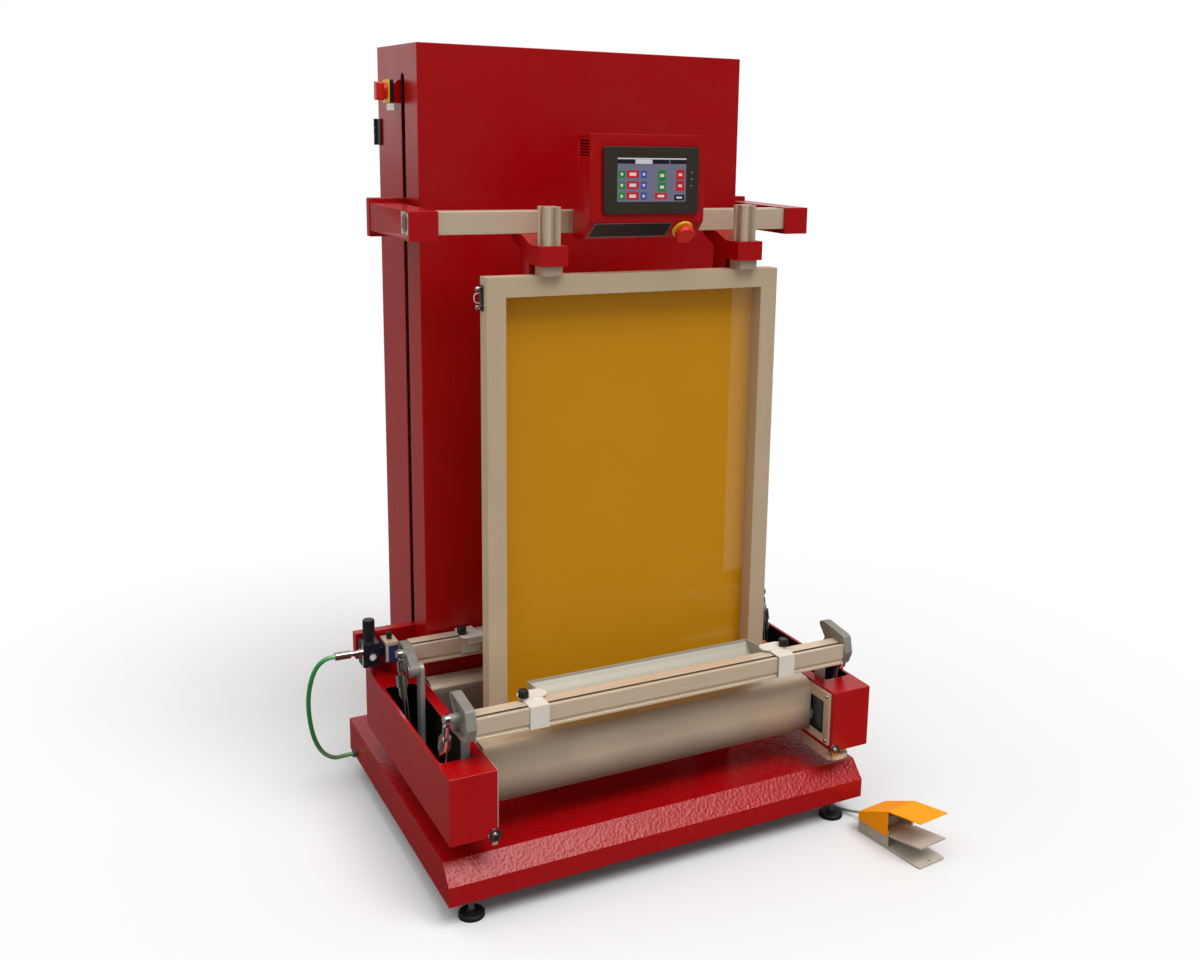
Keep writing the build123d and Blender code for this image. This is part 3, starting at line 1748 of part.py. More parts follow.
save("holder_plate", holder_plate())
save("holder_blocks", rail_block(holder_plate_bottom + holder_plate_height / 2))
save("holder_arms", holder_arms())
save("holder_bar", holder_bar())
save("operator_box", operator_box())
save("touch_panel", touch_panel())
save("estop_button", estop_button())
save("left_clamp_bracket", clamp_bracket(left_clamp_x))
save("left_clamp_post", clamp_post(left_clamp_x))
save("right_clamp_bracket", clamp_bracket(right_clamp_x))
save("right_clamp_post", clamp_post(right_clamp_x))

save("screen_frame", screen_frame())
save("screen_mesh", screen_mesh())

save("pedal_base", pedal_base())
save("pedal_treadle", treadle())
save("pedal_hood", pedal_hood())
save("cable_glands", cable_glands())
save("air_hose", cord_tube(hose_route(), hose_radius, "air_hose"))
save("pedal_cord", cord_tube(pedal_cord_route(), cord_radius, "pedal_cord"))
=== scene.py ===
import json
import math

import bmesh
import bpy
from mathutils import Matrix, Vector

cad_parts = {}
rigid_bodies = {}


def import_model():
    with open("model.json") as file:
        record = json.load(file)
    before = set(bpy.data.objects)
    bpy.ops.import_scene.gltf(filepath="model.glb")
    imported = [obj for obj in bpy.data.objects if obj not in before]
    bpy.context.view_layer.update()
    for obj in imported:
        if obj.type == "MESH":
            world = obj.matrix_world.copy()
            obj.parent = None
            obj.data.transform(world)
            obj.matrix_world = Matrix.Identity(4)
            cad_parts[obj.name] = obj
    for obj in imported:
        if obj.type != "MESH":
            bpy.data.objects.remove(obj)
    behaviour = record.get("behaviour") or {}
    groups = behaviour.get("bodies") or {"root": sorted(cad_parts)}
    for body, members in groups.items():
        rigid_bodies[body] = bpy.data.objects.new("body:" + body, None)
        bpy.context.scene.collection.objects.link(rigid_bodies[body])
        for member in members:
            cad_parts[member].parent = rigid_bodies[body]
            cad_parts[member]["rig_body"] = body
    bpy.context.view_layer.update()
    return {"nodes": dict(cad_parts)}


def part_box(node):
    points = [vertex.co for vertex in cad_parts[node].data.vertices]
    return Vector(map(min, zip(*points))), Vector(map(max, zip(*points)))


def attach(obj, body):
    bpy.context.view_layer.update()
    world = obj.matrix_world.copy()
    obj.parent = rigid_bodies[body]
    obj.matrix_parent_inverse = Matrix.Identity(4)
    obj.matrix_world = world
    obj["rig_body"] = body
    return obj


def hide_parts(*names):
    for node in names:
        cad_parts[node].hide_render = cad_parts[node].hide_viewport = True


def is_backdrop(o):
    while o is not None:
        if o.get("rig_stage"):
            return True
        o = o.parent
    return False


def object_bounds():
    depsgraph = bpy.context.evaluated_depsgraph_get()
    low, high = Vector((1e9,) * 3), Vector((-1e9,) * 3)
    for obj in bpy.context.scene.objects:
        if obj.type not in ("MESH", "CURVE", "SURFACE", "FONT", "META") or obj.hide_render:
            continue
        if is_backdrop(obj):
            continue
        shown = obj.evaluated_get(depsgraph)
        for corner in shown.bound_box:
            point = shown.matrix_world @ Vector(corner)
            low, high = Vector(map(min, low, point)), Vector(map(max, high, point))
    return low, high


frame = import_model()

# Shader arithmetic
# A Signal is a socket in a plain expression, and each expression adds its Math nodes. Nodes is a
# tree being written, and its node method makes any other kind. A Finish is one material.


def join(tree, socket, value):
    if isinstance(value, Signal):
        tree.links.new(value.socket, socket)
    else:
        socket.default_value = value


class Signal:
    def __init__(self, tree, socket):
        self.tree = tree
        self.socket = socket

    def math(self, operation, first, second):
        node = self.tree.nodes.new("ShaderNodeMath")
        node.operation = operation
        join(self.tree, node.inputs[0], first)
        join(self.tree, node.inputs[1], second)
        return Signal(self.tree, node.outputs[0])

    def __add__(self, other):
        return self.math("ADD", self, other)

    __radd__ = __add__

    def __rsub__(self, other):
        return self.math("SUBTRACT", other, self)

    def __mul__(self, other):
        return self.math("MULTIPLY", self, other)

    __rmul__ = __mul__


class Nodes:
    def __init__(self, tree):
        self.tree = tree

    def node(self, kind, sockets=None, output=0, **settings):
        made = self.tree.nodes.new(kind)
        for key, value in settings.items():
            setattr(made, key, value)
        for key, value in (sockets or {}).items():
            join(self.tree, made.inputs[key], value)
        return Signal(self.tree, made.outputs[output])

    def mix(self, factor, first, second):
        return self.node("ShaderNodeMix", {0: factor, 6: first, 7: second}, 2, data_type="RGBA")

    def ramp(self, value, low, high, first=0.0, last=1.0):
        stops = {"Value": value, "From Min": low, "From Max": high, "To Min": first, "To Max": last}
        return self.node("ShaderNodeMapRange", stops)

    def place(self, axis=None):
        spot = self.node("ShaderNodeTexCoord", output="Object")
        return self.node("ShaderNodeSeparateXYZ", {0: spot}, axis) if axis else spot

    def noise(self, scale, detail=2.0, stretch=(1, 1, 1)):
        spot = self.node("ShaderNodeMapping", {"Vector": self.place(), "Scale": stretch})
        return self.node("ShaderNodeTexNoise", {"Vector": spot, "Scale": scale, "Detail": detail})


def srgb(red, green, blue):
    linear = []
    for part in (red / 255, green / 255, blue / 255):
        linear.append(part / 12.92 if part <= 0.04045 else ((part + 0.055) / 1.055) ** 2.4)
    return (*linear, 1)


class Finish(Nodes):
    sockets = {
        "colour": "Base Color",
        "roughness": "Roughness",
        "metallic": "Metallic",
        "specular": "Specular IOR Level",
        "coat": "Coat Weight",
        "coat_roughness": "Coat Roughness",
        "alpha": "Alpha",
        "glow": "Emission Color",
        "glow_strength": "Emission Strength",
        "normal": "Normal",
    }

    def __init__(self, name, **values):
        self.material = bpy.data.materials.new(name)
        self.material.use_nodes = True
        super().__init__(self.material.node_tree)
        self.shader = self.tree.nodes["Principled BSDF"]
        self.set(**values)

    def set(self, **values):
        for key, value in values.items():
            join(self.tree, self.shader.inputs[self.sockets[key]], value)

    def bump(self, height, strength, depth):
        relief = {"Height": height, "Strength": strength, "Distance": depth}
        return self.node("ShaderNodeBump", relief)

    def mottle(self, dark, light, grain=400, strength=0.12, cloud=12, depth=0.0003):
        shade = self.mix(self.noise(cloud, 4), dark, light)
        self.set(colour=shade, normal=self.bump(self.noise(grain, 2), strength, depth))


# Studio
# A plain pale floor and a white surround. One wide lamp stands in front and a wider one above the
# left. What the shiny faces mirror is bright behind the machine and dim in front of it.
scene = bpy.context.scene
scene.view_settings.view_transform = "Standard"

sky_level = 0.5
surround = bpy.data.worlds.new("surround")
surround.use_nodes = True
scene.world = surround
sky = Nodes(surround.node_tree)
plainly_seen = sky.node("ShaderNodeLightPath", output="Is Camera Ray")
plainly_seen = plainly_seen + sky.node("ShaderNodeLightPath", output="Is Transmission Ray")
mirrored = sky.node("ShaderNodeLightPath", output="Is Glossy Ray")
toward = sky.node("ShaderNodeTexCoord", output="Generated")
behind = sky.node("ShaderNodeSeparateXYZ", {0: toward}, "Y")
mirror_level = sky.ramp(behind, -0.25, 0.35, 0.03, 0.72)
level = sky_level * (1 - plainly_seen) * (1 - mirrored) + plainly_seen + mirrored * mirror_level
backdrop = surround.node_tree.nodes["Background"]
join(surround.node_tree, backdrop.inputs["Color"], (1, 1, 1, 1))
join(surround.node_tree, backdrop.inputs["Strength"], level)

floor_reach = 60
floor_mesh = bpy.data.meshes.new("floor")
floor_corners = []
for x, y in ((-1, -1), (1, -1), (1, 1), (-1, 1)):
    floor_corners.append((x * floor_reach, y * floor_reach, 0))
floor_mesh.from_pydata(floor_corners, [], [(0, 1, 2, 3)])
floor = bpy.data.objects.new("floor", floor_mesh)
scene.collection.objects.link(floor)
pale = Finish("pale floor", roughness=0.9, specular=0.0)
straight = pale.node("ShaderNodeLightPath", output="Is Camera Ray")
glossy = pale.node("ShaderNodeLightPath", output="Is Glossy Ray")
rearward = pale.ramp(pale.place("Y"), -0.5, 0.9)
in_gloss = pale.mix(rearward, (0.03, 0.03, 0.03, 1), (0.17, 0.16, 0.155, 1))
unseen = pale.mix(glossy, (0.4, 0.38, 0.36, 1), in_gloss)
pale.set(colour=pale.mix(straight, unseen, (0.73, 0.73, 0.73, 1)))
floor_mesh.materials.append(pale.material)
floor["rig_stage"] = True

for name, strength, spread, beam in (
    ("wide lamp", 2.05, 32, (-0.16, 0.46, -0.86)),
    ("left lamp", 1.1, 60, (0.4, 0, -0.9)),
):
    lamp = bpy.data.lights.new(name, "SUN")
    lamp.energy = strength
    lamp.angle = math.radians(spread)
    lamp_stand = bpy.data.objects.new(name, lamp)
    lamp_stand.rotation_euler = Vector(beam).to_track_quat("-Z", "Y").to_euler()
    scene.collection.objects.link(lamp_stand)

# Camera
# It stands to the left of the machine at head height, turned toward it and looking down a little.
image_width = 1200
image_height = 960
focal_pixels = 1292.393
principal_x = 676.15
principal_y = 401.05
yaw = math.radians(28.76)
pitch = math.radians(12.0)
roll = math.radians(1.41)

camera = bpy.data.cameras.new("camera")
camera.sensor_width = 36
camera.lens = camera.sensor_width * focal_pixels / image_width
camera.shift_x = (image_width / 2 - principal_x) / image_width
camera.shift_y = (principal_y - image_height / 2) / image_width
ahead = math.cos(pitch)
forward = Vector((math.sin(yaw) * ahead, math.cos(yaw) * ahead, -math.sin(pitch)))
level_right = Vector((math.cos(yaw), -math.sin(yaw), 0))
level_up = level_right.cross(forward)
right = level_right * math.cos(roll) + level_up * math.sin(roll)
up = level_up * math.cos(roll) - level_right * math.sin(roll)
standpoint = (-1.19225, -2.42511, 1.5401)
gaze = Matrix((right, up, -forward)).transposed().to_4x4()
viewer = bpy.data.objects.new("camera", camera)
viewer.matrix_world = Matrix.Translation(standpoint) @ gaze
scene.collection.objects.link(viewer)
scene.camera = viewer

# Base plinth
# Folded sheet steel with a sloped front edge. Its powder coat has a hammered texture, so the
# sloped edge glitters where it faces the light. Places below are in mm from the column's front.
machine = Vector((10.849, 197.289, 0))
weld = 0.00001
flat_angle = math.radians(0.6)
crease_angle = math.radians(32)


def metres(x, y, z):
    return (Vector((x, y, z)) + machine) / 1000


def settle(mesh, flatten=True):
    work = bmesh.new()
    work.from_mesh(mesh)
    bmesh.ops.remove_doubles(work, verts=work.verts, dist=weld)
    if flatten:
        bmesh.ops.dissolve_limit(
            work,
            angle_limit=flat_angle,
            verts=work.verts,
            edges=work.edges,
            use_dissolve_boundaries=False,
        )
    for face in work.faces:
        face.smooth = True
        face.material_index = 0
    work.to_mesh(mesh)
    work.free()
    mesh.set_sharp_from_angle(angle=crease_angle)


def finished(name, mesh, body, nodes=(), radius=0.0):
    piece = bpy.data.objects.new(name, mesh)
    scene.collection.objects.link(piece)
    if radius:
        edge = piece.modifiers.new("edge", "BEVEL")
        edge.width = radius
        edge.segments = 2
        edge.limit_method = "ANGLE"
        edge.angle_limit = crease_angle
        edge.use_clamp_overlap = True
        edge.harden_normals = True
        edge.miter_outer = "MITER_ARC"
    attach(piece, body)
    if nodes:
        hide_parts(*nodes)
    return piece


def eased(node, name, radius, finish, flatten=True):
    source = frame["nodes"][node]
    mesh = source.data.copy()
    mesh.name = name
    mesh.materials.clear()
    mesh.materials.append(finish.material)
    settle(mesh, flatten)
    return finished(name, mesh, source["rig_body"], (node,), radius)


def paint(piece, finish, test):
    piece.data.materials.append(finish.material)
    number = len(piece.data.materials) - 1
    for face in piece.data.polygons:
        if test(face.center * 1000 - machine, face.normal):
            face.material_index = number


hammered = Finish("hammered red coat", specular=0.35)
dimples = hammered.node(
    "ShaderNodeTexVoronoi", {"Vector": hammered.place(), "Scale": 150.0}, feature="SMOOTH_F1"
)
relief = dimples + hammered.noise(380, 2) * 0.45
hammered.set(
    colour=hammered.mix(hammered.noise(5, 4), srgb(152, 5, 9), srgb(168, 8, 14)),
    roughness=hammered.ramp(hammered.noise(60, 3), 0.2, 0.8, 0.2, 0.36),
    normal=hammered.bump(relief, 0.55, 0.0014),
)
eased("base_plinth", "hammered_plinth", 0.0025, hammered)

# Levelling feet
# Black moulded discs on zinc-plated threaded stems. A zinc hexagon nut under the base locks each.


def stud_tree():
    tree = bpy.data.node_groups.new("studs", "GeometryNodeTree")
    face = tree.interface
    face.new_socket("Geometry", in_out="INPUT", socket_type="NodeSocketGeometry")
    for label, start in (("Radius", 0.003), ("Height", 0.003), ("Taper", 0.9)):
        face.new_socket(label, in_out="INPUT", socket_type="NodeSocketFloat").default_value = start
    face.new_socket("Sides", in_out="INPUT", socket_type="NodeSocketInt").default_value = 6
    face.new_socket("Turn", in_out="INPUT", socket_type="NodeSocketVector")
    face.new_socket("Finish", in_out="INPUT", socket_type="NodeSocketMaterial")
    face.new_socket("Geometry", in_out="OUTPUT", socket_type="NodeSocketGeometry")
    work = Nodes(tree)
    given = tree.nodes.new("NodeGroupInput")

    def read(label):
        return Signal(tree, given.outputs[label])

    stud = work.node(
        "GeometryNodeMeshCone",
        {
            "Vertices": read("Sides"),
            "Radius Bottom": read("Radius"),
            "Radius Top": read("Radius") * read("Taper"),
            "Depth": read("Height"),
        },
        "Mesh",
    )
    turned = work.node("FunctionNodeEulerToRotation", {0: read("Turn")})
    many = work.node(
        "GeometryNodeInstanceOnPoints",
        {"Points": read("Geometry"), "Instance": stud, "Rotation": turned},
    )
    real = work.node("GeometryNodeRealizeInstances", {0: many})
    coated = work.node("GeometryNodeSetMaterial", {"Geometry": real, "Material": read("Finish")})
    end = tree.nodes.new("NodeGroupOutput")
    tree.links.new(coated.socket, end.inputs[0])
    return tree


studs_tree = stud_tree()
facing = {
    "up": (0, 0, 0),
    "front": (math.pi / 2, 0, 0),
    "back": (-math.pi / 2, 0, 0),
    "left": (0, -math.pi / 2, 0),
    "right": (0, math.pi / 2, 0),
}
round_from = 12


def baked(piece):
    graph = bpy.context.evaluated_depsgraph_get()
    return bpy.data.meshes.new_from_object(piece.evaluated_get(graph))


def studs(name, places, toward, sides, radius, height, finish, body, taper=0.9):
    points = bpy.data.meshes.new(name)
    points.from_pydata([metres(*place) for place in places], [], [])
    piece = bpy.data.objects.new(name, points)
    scene.collection.objects.link(piece)
    grow = piece.modifiers.new("studs", "NODES")
    grow.node_group = studs_tree
    values = {
        "Radius": radius / 1000,
        "Height": height / 1000,
        "Taper": taper,
        "Sides": sides,
        "Turn": facing[toward],
        "Finish": finish.material,
    }
    for item in studs_tree.interface.items_tree:
        if item.in_out == "INPUT" and item.name in values:
            grow[item.identifier] = values[item.name]
    mesh = baked(piece)
    piece.modifiers.remove(grow)
    piece.data = mesh
    mesh.name = name
    for face in mesh.polygons:
        face.use_smooth = sides > round_from
    mesh.set_sharp_from_angle(angle=crease_angle)
    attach(piece, body)


foot_black = Finish("black foot plastic", roughness=0.5, specular=0.3)
foot_black.mottle((0.008, 0.008, 0.008, 1), (0.022, 0.022, 0.021, 1), 900, 0.2, 40)
zinc = Finish("zinc plate", roughness=0.3, metallic=0.9)
zinc.mottle((0.5, 0.49, 0.46, 1), (0.66, 0.65, 0.6, 1), 700, 0.1, 60)
foot_x = 433
front_foot_y = -428
rear_foot_y = 235
disc_top = 16
thread_pitch = 2.2
thread_turns = 7
locknut_z = 43.5
for corner, x, y in (
    ("front_left", -foot_x, front_foot_y),
    ("rear_left", -foot_x, rear_foot_y),
    ("front_right", foot_x, front_foot_y),
    ("rear_right", foot_x, rear_foot_y),
):
    foot = eased(f"levelling_foot_{corner}", f"foot_{corner}", 0.0008, foot_black)
    paint(foot, zinc, lambda spot, normal: spot.z > disc_top)
    body = frame["nodes"][f"levelling_foot_{corner}"]["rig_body"]
    thread = [(x, y, disc_top + 1 + thread_pitch * turn) for turn in range(thread_turns)]
    studs(f"thread_{corner}", thread, "up", 24, 6.1, 1.1, zinc, body, 0.85)
    locknut = [(x, y, locknut_z)]
    studs(f"locknut_{corner}", locknut, "up", 6, 9.5, 7, zinc, "machine", 1.0)

# Column
# Welded sheets in gloss red powder coat, closed behind by a ribbed door on black hinges. The
# crossbars run through a slot in each side.


def rounded_block(low, high, corner, along, segments):
    work = bmesh.new()
    spread = Matrix.Diagonal((*((Vector(high) - Vector(low)) / 1000), 1))
    middle = metres(*((Vector(high) + Vector(low)) / 2))
    bmesh.ops.create_cube(work, size=1, matrix=Matrix.Translation(middle) @ spread)
    if corner:
        lines = []
        for edge in work.edges:
            run = edge.verts[0].co - edge.verts[1].co
            if abs(run["xyz".index(along)]) > run.length * 0.99:
                lines.append(edge)
        bmesh.ops.bevel(
            work,
            geom=lines,
            offset=corner / 1000,
            segments=segments,
            affect="EDGES",
            profile=0.5,
        )
    return work


def written(work, name):
    mesh = bpy.data.meshes.new(name)
    work.to_mesh(mesh)
    work.free()
    return mesh


def carved(name, low, high, cuts, finish):
    mesh = written(rounded_block(low, high, 0, "x", 1), name)
    mesh.materials.append(finish.material)
    body = bpy.data.objects.new(name, mesh)
    scene.collection.objects.link(body)
    tools = []
    for cut_low, cut_high, corner, along in cuts:
        tool_mesh = written(rounded_block(cut_low, cut_high, corner, along, 6), "tool")
        tool = bpy.data.objects.new("tool", tool_mesh)
        scene.collection.objects.link(tool)
        tools.append(tool)
        carve = body.modifiers.new("cut", "BOOLEAN")
        carve.operation = "DIFFERENCE"
        carve.solver = "EXACT"
        carve.object = tool
    shape = baked(body)
    for thing in (*tools, body):
        bpy.data.objects.remove(thing)
    shape.name = name
    settle(shape)
    return shape


red_coat = Finish("red powder coat", specular=0.4)
red_coat.set(
    colour=red_coat.mix(red_coat.noise(2.5, 4), srgb(160, 3, 7), srgb(171, 6, 11)),
    roughness=red_coat.ramp(red_coat.noise(9, 4), 0.2, 0.8, 0.2, 0.32),
    normal=red_coat.bump(red_coat.noise(600, 2), 0.1, 0.0002),
)
sheet = 3
column_half = 381.5
column_depth = 285
base_top = 129
column_top = 1694
past = 1
inside = column_half - sheet
lip_start = inside - 25
back_sheet = column_depth - sheet
lid = column_top - sheet
hollow = ((-inside, sheet, base_top - past), (inside, back_sheet, lid))
doorway = ((-lip_start, back_sheet - past, base_top - past), (lip_start, column_depth + past, lid))
side_slots = ((-column_half - past, 87, 340), (column_half + past, 112, 1635))
column_cuts = [(*hollow, 0, "x"), (*doorway, 0, "x"), (*side_slots, 12, "x")]
column_mesh = carved(
    "red_column",
    (-column_half, 0, base_top),
    (column_half, column_depth, column_top),
    column_cuts,
    red_coat,
)
finished("red_column", column_mesh, "machine", ("column_shell",), 0.003)

# Rear door
# Sheet steel with two stiffening ribs and screws along its sides. It hangs on black hinges and has
# a turning lock.
door =eased("rear_door", "red_door", 0.001, red_coat)
black_metal = Finish("black coated metal", roughness=0.42, specular=0.4)
black_metal.mottle((0.007, 0.007, 0.007, 1), (0.022, 0.02, 0.02, 1), 800, 0.15, 25)
eased("door_hinges", "black_hinges", 0.0008, black_metal)
steel = Finish("bright steel", roughness=0.26, metallic=1.0)
steel.mottle((0.42, 0.41, 0.39, 1), (0.6, 0.58, 0.54, 1), 600, 0.06, 60)
eased("door_lock", "turning_lock", 0.0008, steel)
hinge_x = -385
hinge_y = 291.8
knuckle_reach = 7


def on_knuckle(spot, normal):
    return math.hypot(spot.x - hinge_x, spot.y - hinge_y) < knuckle_reach


paint(door, black_metal, on_knuckle)
door_face = column_depth + 3.3
door_screw_x = 340
door_screw_z = (190, 480, 1190, 1480, 1640)
door_screws = [(x, door_face, z) for x in (-door_screw_x, door_screw_x) for z in door_screw_z]
studs("door_screws", door_screws, "back", 24, 5, 2.4, steel, "door", 0.75)

# Lift inside the column
# Ground steel rails on box-section uprights, their rail blocks, and a black motor that turns a
# rolled screw.
for node in ("lift_rails", "carriage_blocks", "holder_blocks"):
    eased(node, f"bright_{node}", 0.0006, steel, flatten=False)
eased("drive_screw", "rolled_screw", 0.0004, steel)
motor_black = Finish("black motor enamel", roughness=0.5, specular=0.4)
motor_black.mottle((0.012, 0.012, 0.013, 1), (0.03, 0.03, 0.032, 1), 500, 0.2, 20)
motor = eased("drive_motor", "black_motor", 0.0015, motor_black)
motor_height = 84
paint(motor, steel, lambda spot, normal: spot.z > base_top + motor_height)
screw_y = 45
screw_start = 330
screw_lead = 40
screw_turns = 29
screw_thread = [(0, screw_y, screw_start + screw_lead * turn) for turn in range(screw_turns)]
studs("screw_thread", screw_thread, "up", 24, 12.0, 12, steel, "screw", 0.9)

# Control panel
# A grey painted plate inside the column, facing the door. It carries grey modules, a black power
# supply and a pale valve row.
panel_grey = Finish("grey cabinet plastic", roughness=0.5)
panel_grey.mottle((0.4, 0.4, 0.39, 1), (0.48, 0.48, 0.47, 1), 500, 0.1, 8)
cabinet = eased("control_panel", "cabinet_modules", 0.001, panel_grey)
module_white = Finish("pale module plastic", roughness=0.45)
module_white.mottle((0.62, 0.62, 0.6, 1), (0.7, 0.7, 0.68, 1), 500, 0.08, 18)
plate_back = 203.5
supply_from = 1100
supply_half = 90
valves_from = 560
valves_to = 760


def on_supply(spot, normal):
    return spot.y > plate_back and spot.z > supply_from and abs(spot.x) < supply_half


def on_valves(spot, normal):
    return spot.y > plate_back and valves_from < spot.z < valves_to


paint(cabinet, motor_black, on_supply)
paint(cabinet, module_white, on_valves)

# Main switch
# A red riser on the column's side, a black base, a yellow plate and a red turning handle. A small
# blank plate sits below it.
switch = eased("main_switch", "main_switch_stack", 0.001, red_coat)
base_front = -396.0
paint(switch, black_metal, lambda spot, normal: spot.x < base_front)
handle_red = Finish("red switch plastic", roughness=0.3)
handle_red.mottle(srgb(196, 24, 16), srgb(212, 36, 22), 700, 0.1, 30)
eased("switch_handle", "red_handle", 0.002, handle_red)
switch_yellow = Finish("yellow switch plate", roughness=0.4)
switch_yellow.mottle(srgb(245, 190, 20), srgb(252, 204, 40), 600, 0.08, 30)


def slab(name, low, high, corner, along, finish, body, slot, radius=0.0003):
    mesh = written(rounded_block(low, high, corner, along, 5), name)
    mesh.materials.append(finish.material)
    settle(mesh)
    finished(name, mesh, body, (), radius)


yellow_low = (-406.2, 112, 1574)
yellow_high = (-405, 160, 1622)
slab("switch_plate", yellow_low, yellow_high, 4, "x", switch_yellow, "machine", "pedal_orange")
white_plate = Finish("blank white plate", roughness=0.4)
white_plate.mottle(srgb(222, 220, 212), srgb(236, 234, 226), 500, 0.05, 30)
white_low = (-column_half - 0.8, 158, 1559)
white_high = (-column_half, 216, 1573)
slab("side_plate", white_low, white_high, 2, "x", white_plate, "machine", "control_grey")

# Screen rests and glands
# Two folded rests under the screen, and the glands where the hose and the cord go in.


def brushed(name, along, dark, bright, roughness=0.34, metallic=0.3):
    stretch = [340, 340, 340]
    stretch["xyz".index(along)] = 5
    finish = Finish(name, metallic=metallic)
    lines = finish.noise(1.0, 3, stretch)
    finish.set(
        colour=finish.mix(lines * 0.6 + finish.noise(9, 3) * 0.4, dark, bright),
        roughness=roughness - 0.06 + lines * 0.12,
        normal=finish.bump(lines, 0.12, 0.0002),
    )
    return finish


bar_dark = (0.57, 0.45, 0.33, 1)
bar_bright = (0.81, 0.65, 0.48, 1)
satin = brushed("satin aluminium along x", "x", bar_dark, bar_bright)
satin_plate = brushed("satin aluminium along y", "y", bar_dark, bar_bright)
# The upright clamp posts use a darker copy of the bar's satin aluminium: painted shade.
satin_up_shaded = brushed("satin aluminium along z", "z", (0.43, 0.33, 0.24, 1), (0.6, 0.46, 0.33, 1))
eased("screen_rests", "red_rests", 0.0008, red_coat)
gland_grey = Finish("gland plastic", roughness=0.45)
gland_grey.mottle((0.05, 0.05, 0.05, 1), (0.09, 0.09, 0.09, 1), 600, 0.15, 30)
eased("cable_glands", "gland_pair", 0.0008, gland_grey)

# Carriage
# The crossbar and the two side boxes are red. The boxes are welded from plates, and the opening in
# each lid shows the inside where the coater stands slide; the inside faces are painted near black
# as painted shade.
eased("carriage_crossbar", "red_crossbar", 0.001, red_coat, flatten=False)
box = {"inner": 393, "outer": 490, "front": -472, "back": 110, "bottom": 185, "top": 325}
hatch = {"inner": 417, "outer": 483, "front": -400, "back": -20}
window = {"front": -441, "back": -382, "bottom": 214, "top": 295}


def across(side, low, high):
    ends = sorted((side * low[0], side * high[0]))
    return (ends[0], *low[1:]), (ends[1], *high[1:])


box_low = Vector((box["inner"], box["front"], box["bottom"]))
box_high = Vector((box["outer"], box["back"], box["top"]))
sheets = Vector((sheet, sheet, sheet))
lid_low = (hatch["inner"], hatch["front"], box["top"] - sheet - past)
lid_high = (hatch["outer"], hatch["back"], box["top"] + past)
window_low = (box["inner"] - past, window["front"], window["bottom"])
window_high = (box["inner"] + sheet + past, window["back"], window["top"])
box_cuts = (
    (tuple(box_low + sheets), tuple(box_high - sheets), 0, "x"),
    (lid_low, lid_high, 8, "z"),
    (window_low, window_high, 3, "x"),
)
joined = bmesh.new()
for side in (-1, 1):
    cuts = [(*across(side, low, high), corner, along) for low, high, corner, along in box_cuts]
    ends = across(side, tuple(box_low), tuple(box_high))
    joined.from_mesh(carved("red_box", *ends, cuts, red_coat))
rail_size = Matrix.Diagonal((0.02, 0.55, 0.01, 1))
rail_x = 440
rail_middle_y = -180
rail_z = 193
for x in (-rail_x, rail_x):
    rail_place = Matrix.Translation(metres(x, rail_middle_y, rail_z))
    bmesh.ops.create_cube(joined, size=1, matrix=rail_place @ rail_size)
boxes_mesh = written(joined, "red_boxes")
boxes_mesh.materials.append(red_coat.material)
settle(boxes_mesh)
boxes = finished("red_boxes", boxes_mesh, "carriage", ("side_boxes",), 0.0022)
box_inside_shade = Finish("dark box inside", roughness=0.7, specular=0.2)
box_inside_shade.mottle((0.01, 0.006, 0.006, 1), (0.02, 0.012, 0.011, 1), 300, 0.1, 12)
bolt_x = 400
bolt_z = 190
bolt_reach = 12
bolt_height = 12


def in_box(spot, normal):
    return (
        box["inner"] + 1 < abs(spot.x) < box["outer"] - 1
        and box["front"] + 1 < spot.y < box["back"] - 1
        and box["bottom"] + 1 < spot.z < box["top"] - 1
    )


def on_front_bolt(spot, normal):
    beside = abs(spot.x) < bolt_x + bolt_reach and spot.z > bolt_z - bolt_reach
    return beside and spot.y < box["front"]


# The faces inside each side box, and the rails in them, are painted near black: painted shade.
paint(boxes, box_inside_shade, in_box)
plates = eased("side_plates", "side_plate_set", 0.001, satin_plate, flatten=False)
paint(plates, steel, on_front_bolt)
bolt_front = box["front"] - bolt_height
# Black hexagons on the bolt heads stand for the socket holes: painted shade.
hexes = [(x, bolt_front + 0.2, bolt_z) for x in (-bolt_x, bolt_x)]
studs("bolt_socket_shade", hexes, "front", 6, 3.4, 0.4, black_metal, "carriage", 1.0)
screw_x = 387.8
plate_screw_y = (-452, -336)
plate_screw_z = (206, 311)
screw_head = 2.5
for side, toward in ((-1, "right"), (1, "left")):
    near = [(side * screw_x, y, z) for y in plate_screw_y for z in plate_screw_z]
    studs(f"plate_screws_{toward}", near, toward, 24, 4.2, 2.6, steel, "carriage", 0.85)
    # Black hexagons on the screw heads stand for the socket holes: painted shade.
    heads = [(x - side * screw_head, y, z) for x, y, z in near]
    studs(f"plate_socket_shade_{toward}", heads, toward, 6, 2, 0.3, black_metal, "carriage", 1.0)

# Cross beams
# Extruded aluminium with a large round on the front upper edge, one in front of the screen and one
# behind it.
beam_coat = brushed("beam aluminium", "x", bar_dark, bar_bright)
# Each beam's lower part is painted dark red, blending into the brushed colour between 215 and 265
# mm high: painted shade and painted red reflection.
low_shade_ramp = beam_coat.ramp(beam_coat.place("Z"), 0.215, 0.265)
upper = beam_coat.mix(beam_coat.noise(9, 3), bar_dark, bar_bright)
beam_coat.set(colour=beam_coat.mix(low_shade_ramp, (0.17, 0.08, 0.06, 1), upper))
beams = eased("cross_beams", "beam_pair", 0.001, beam_coat)
shade_dark = (0.2, 0.17, 0.13, 1)
shade_bright = (0.3, 0.25, 0.2, 1)
shaded = brushed("satin aluminium in the shade", "x", shade_dark, shade_bright, 0.5, 0.2)
rear_beam_y = -100
paint(beams, shaded, lambda spot, normal: spot.y > rear_beam_y and normal.z < 0.5)

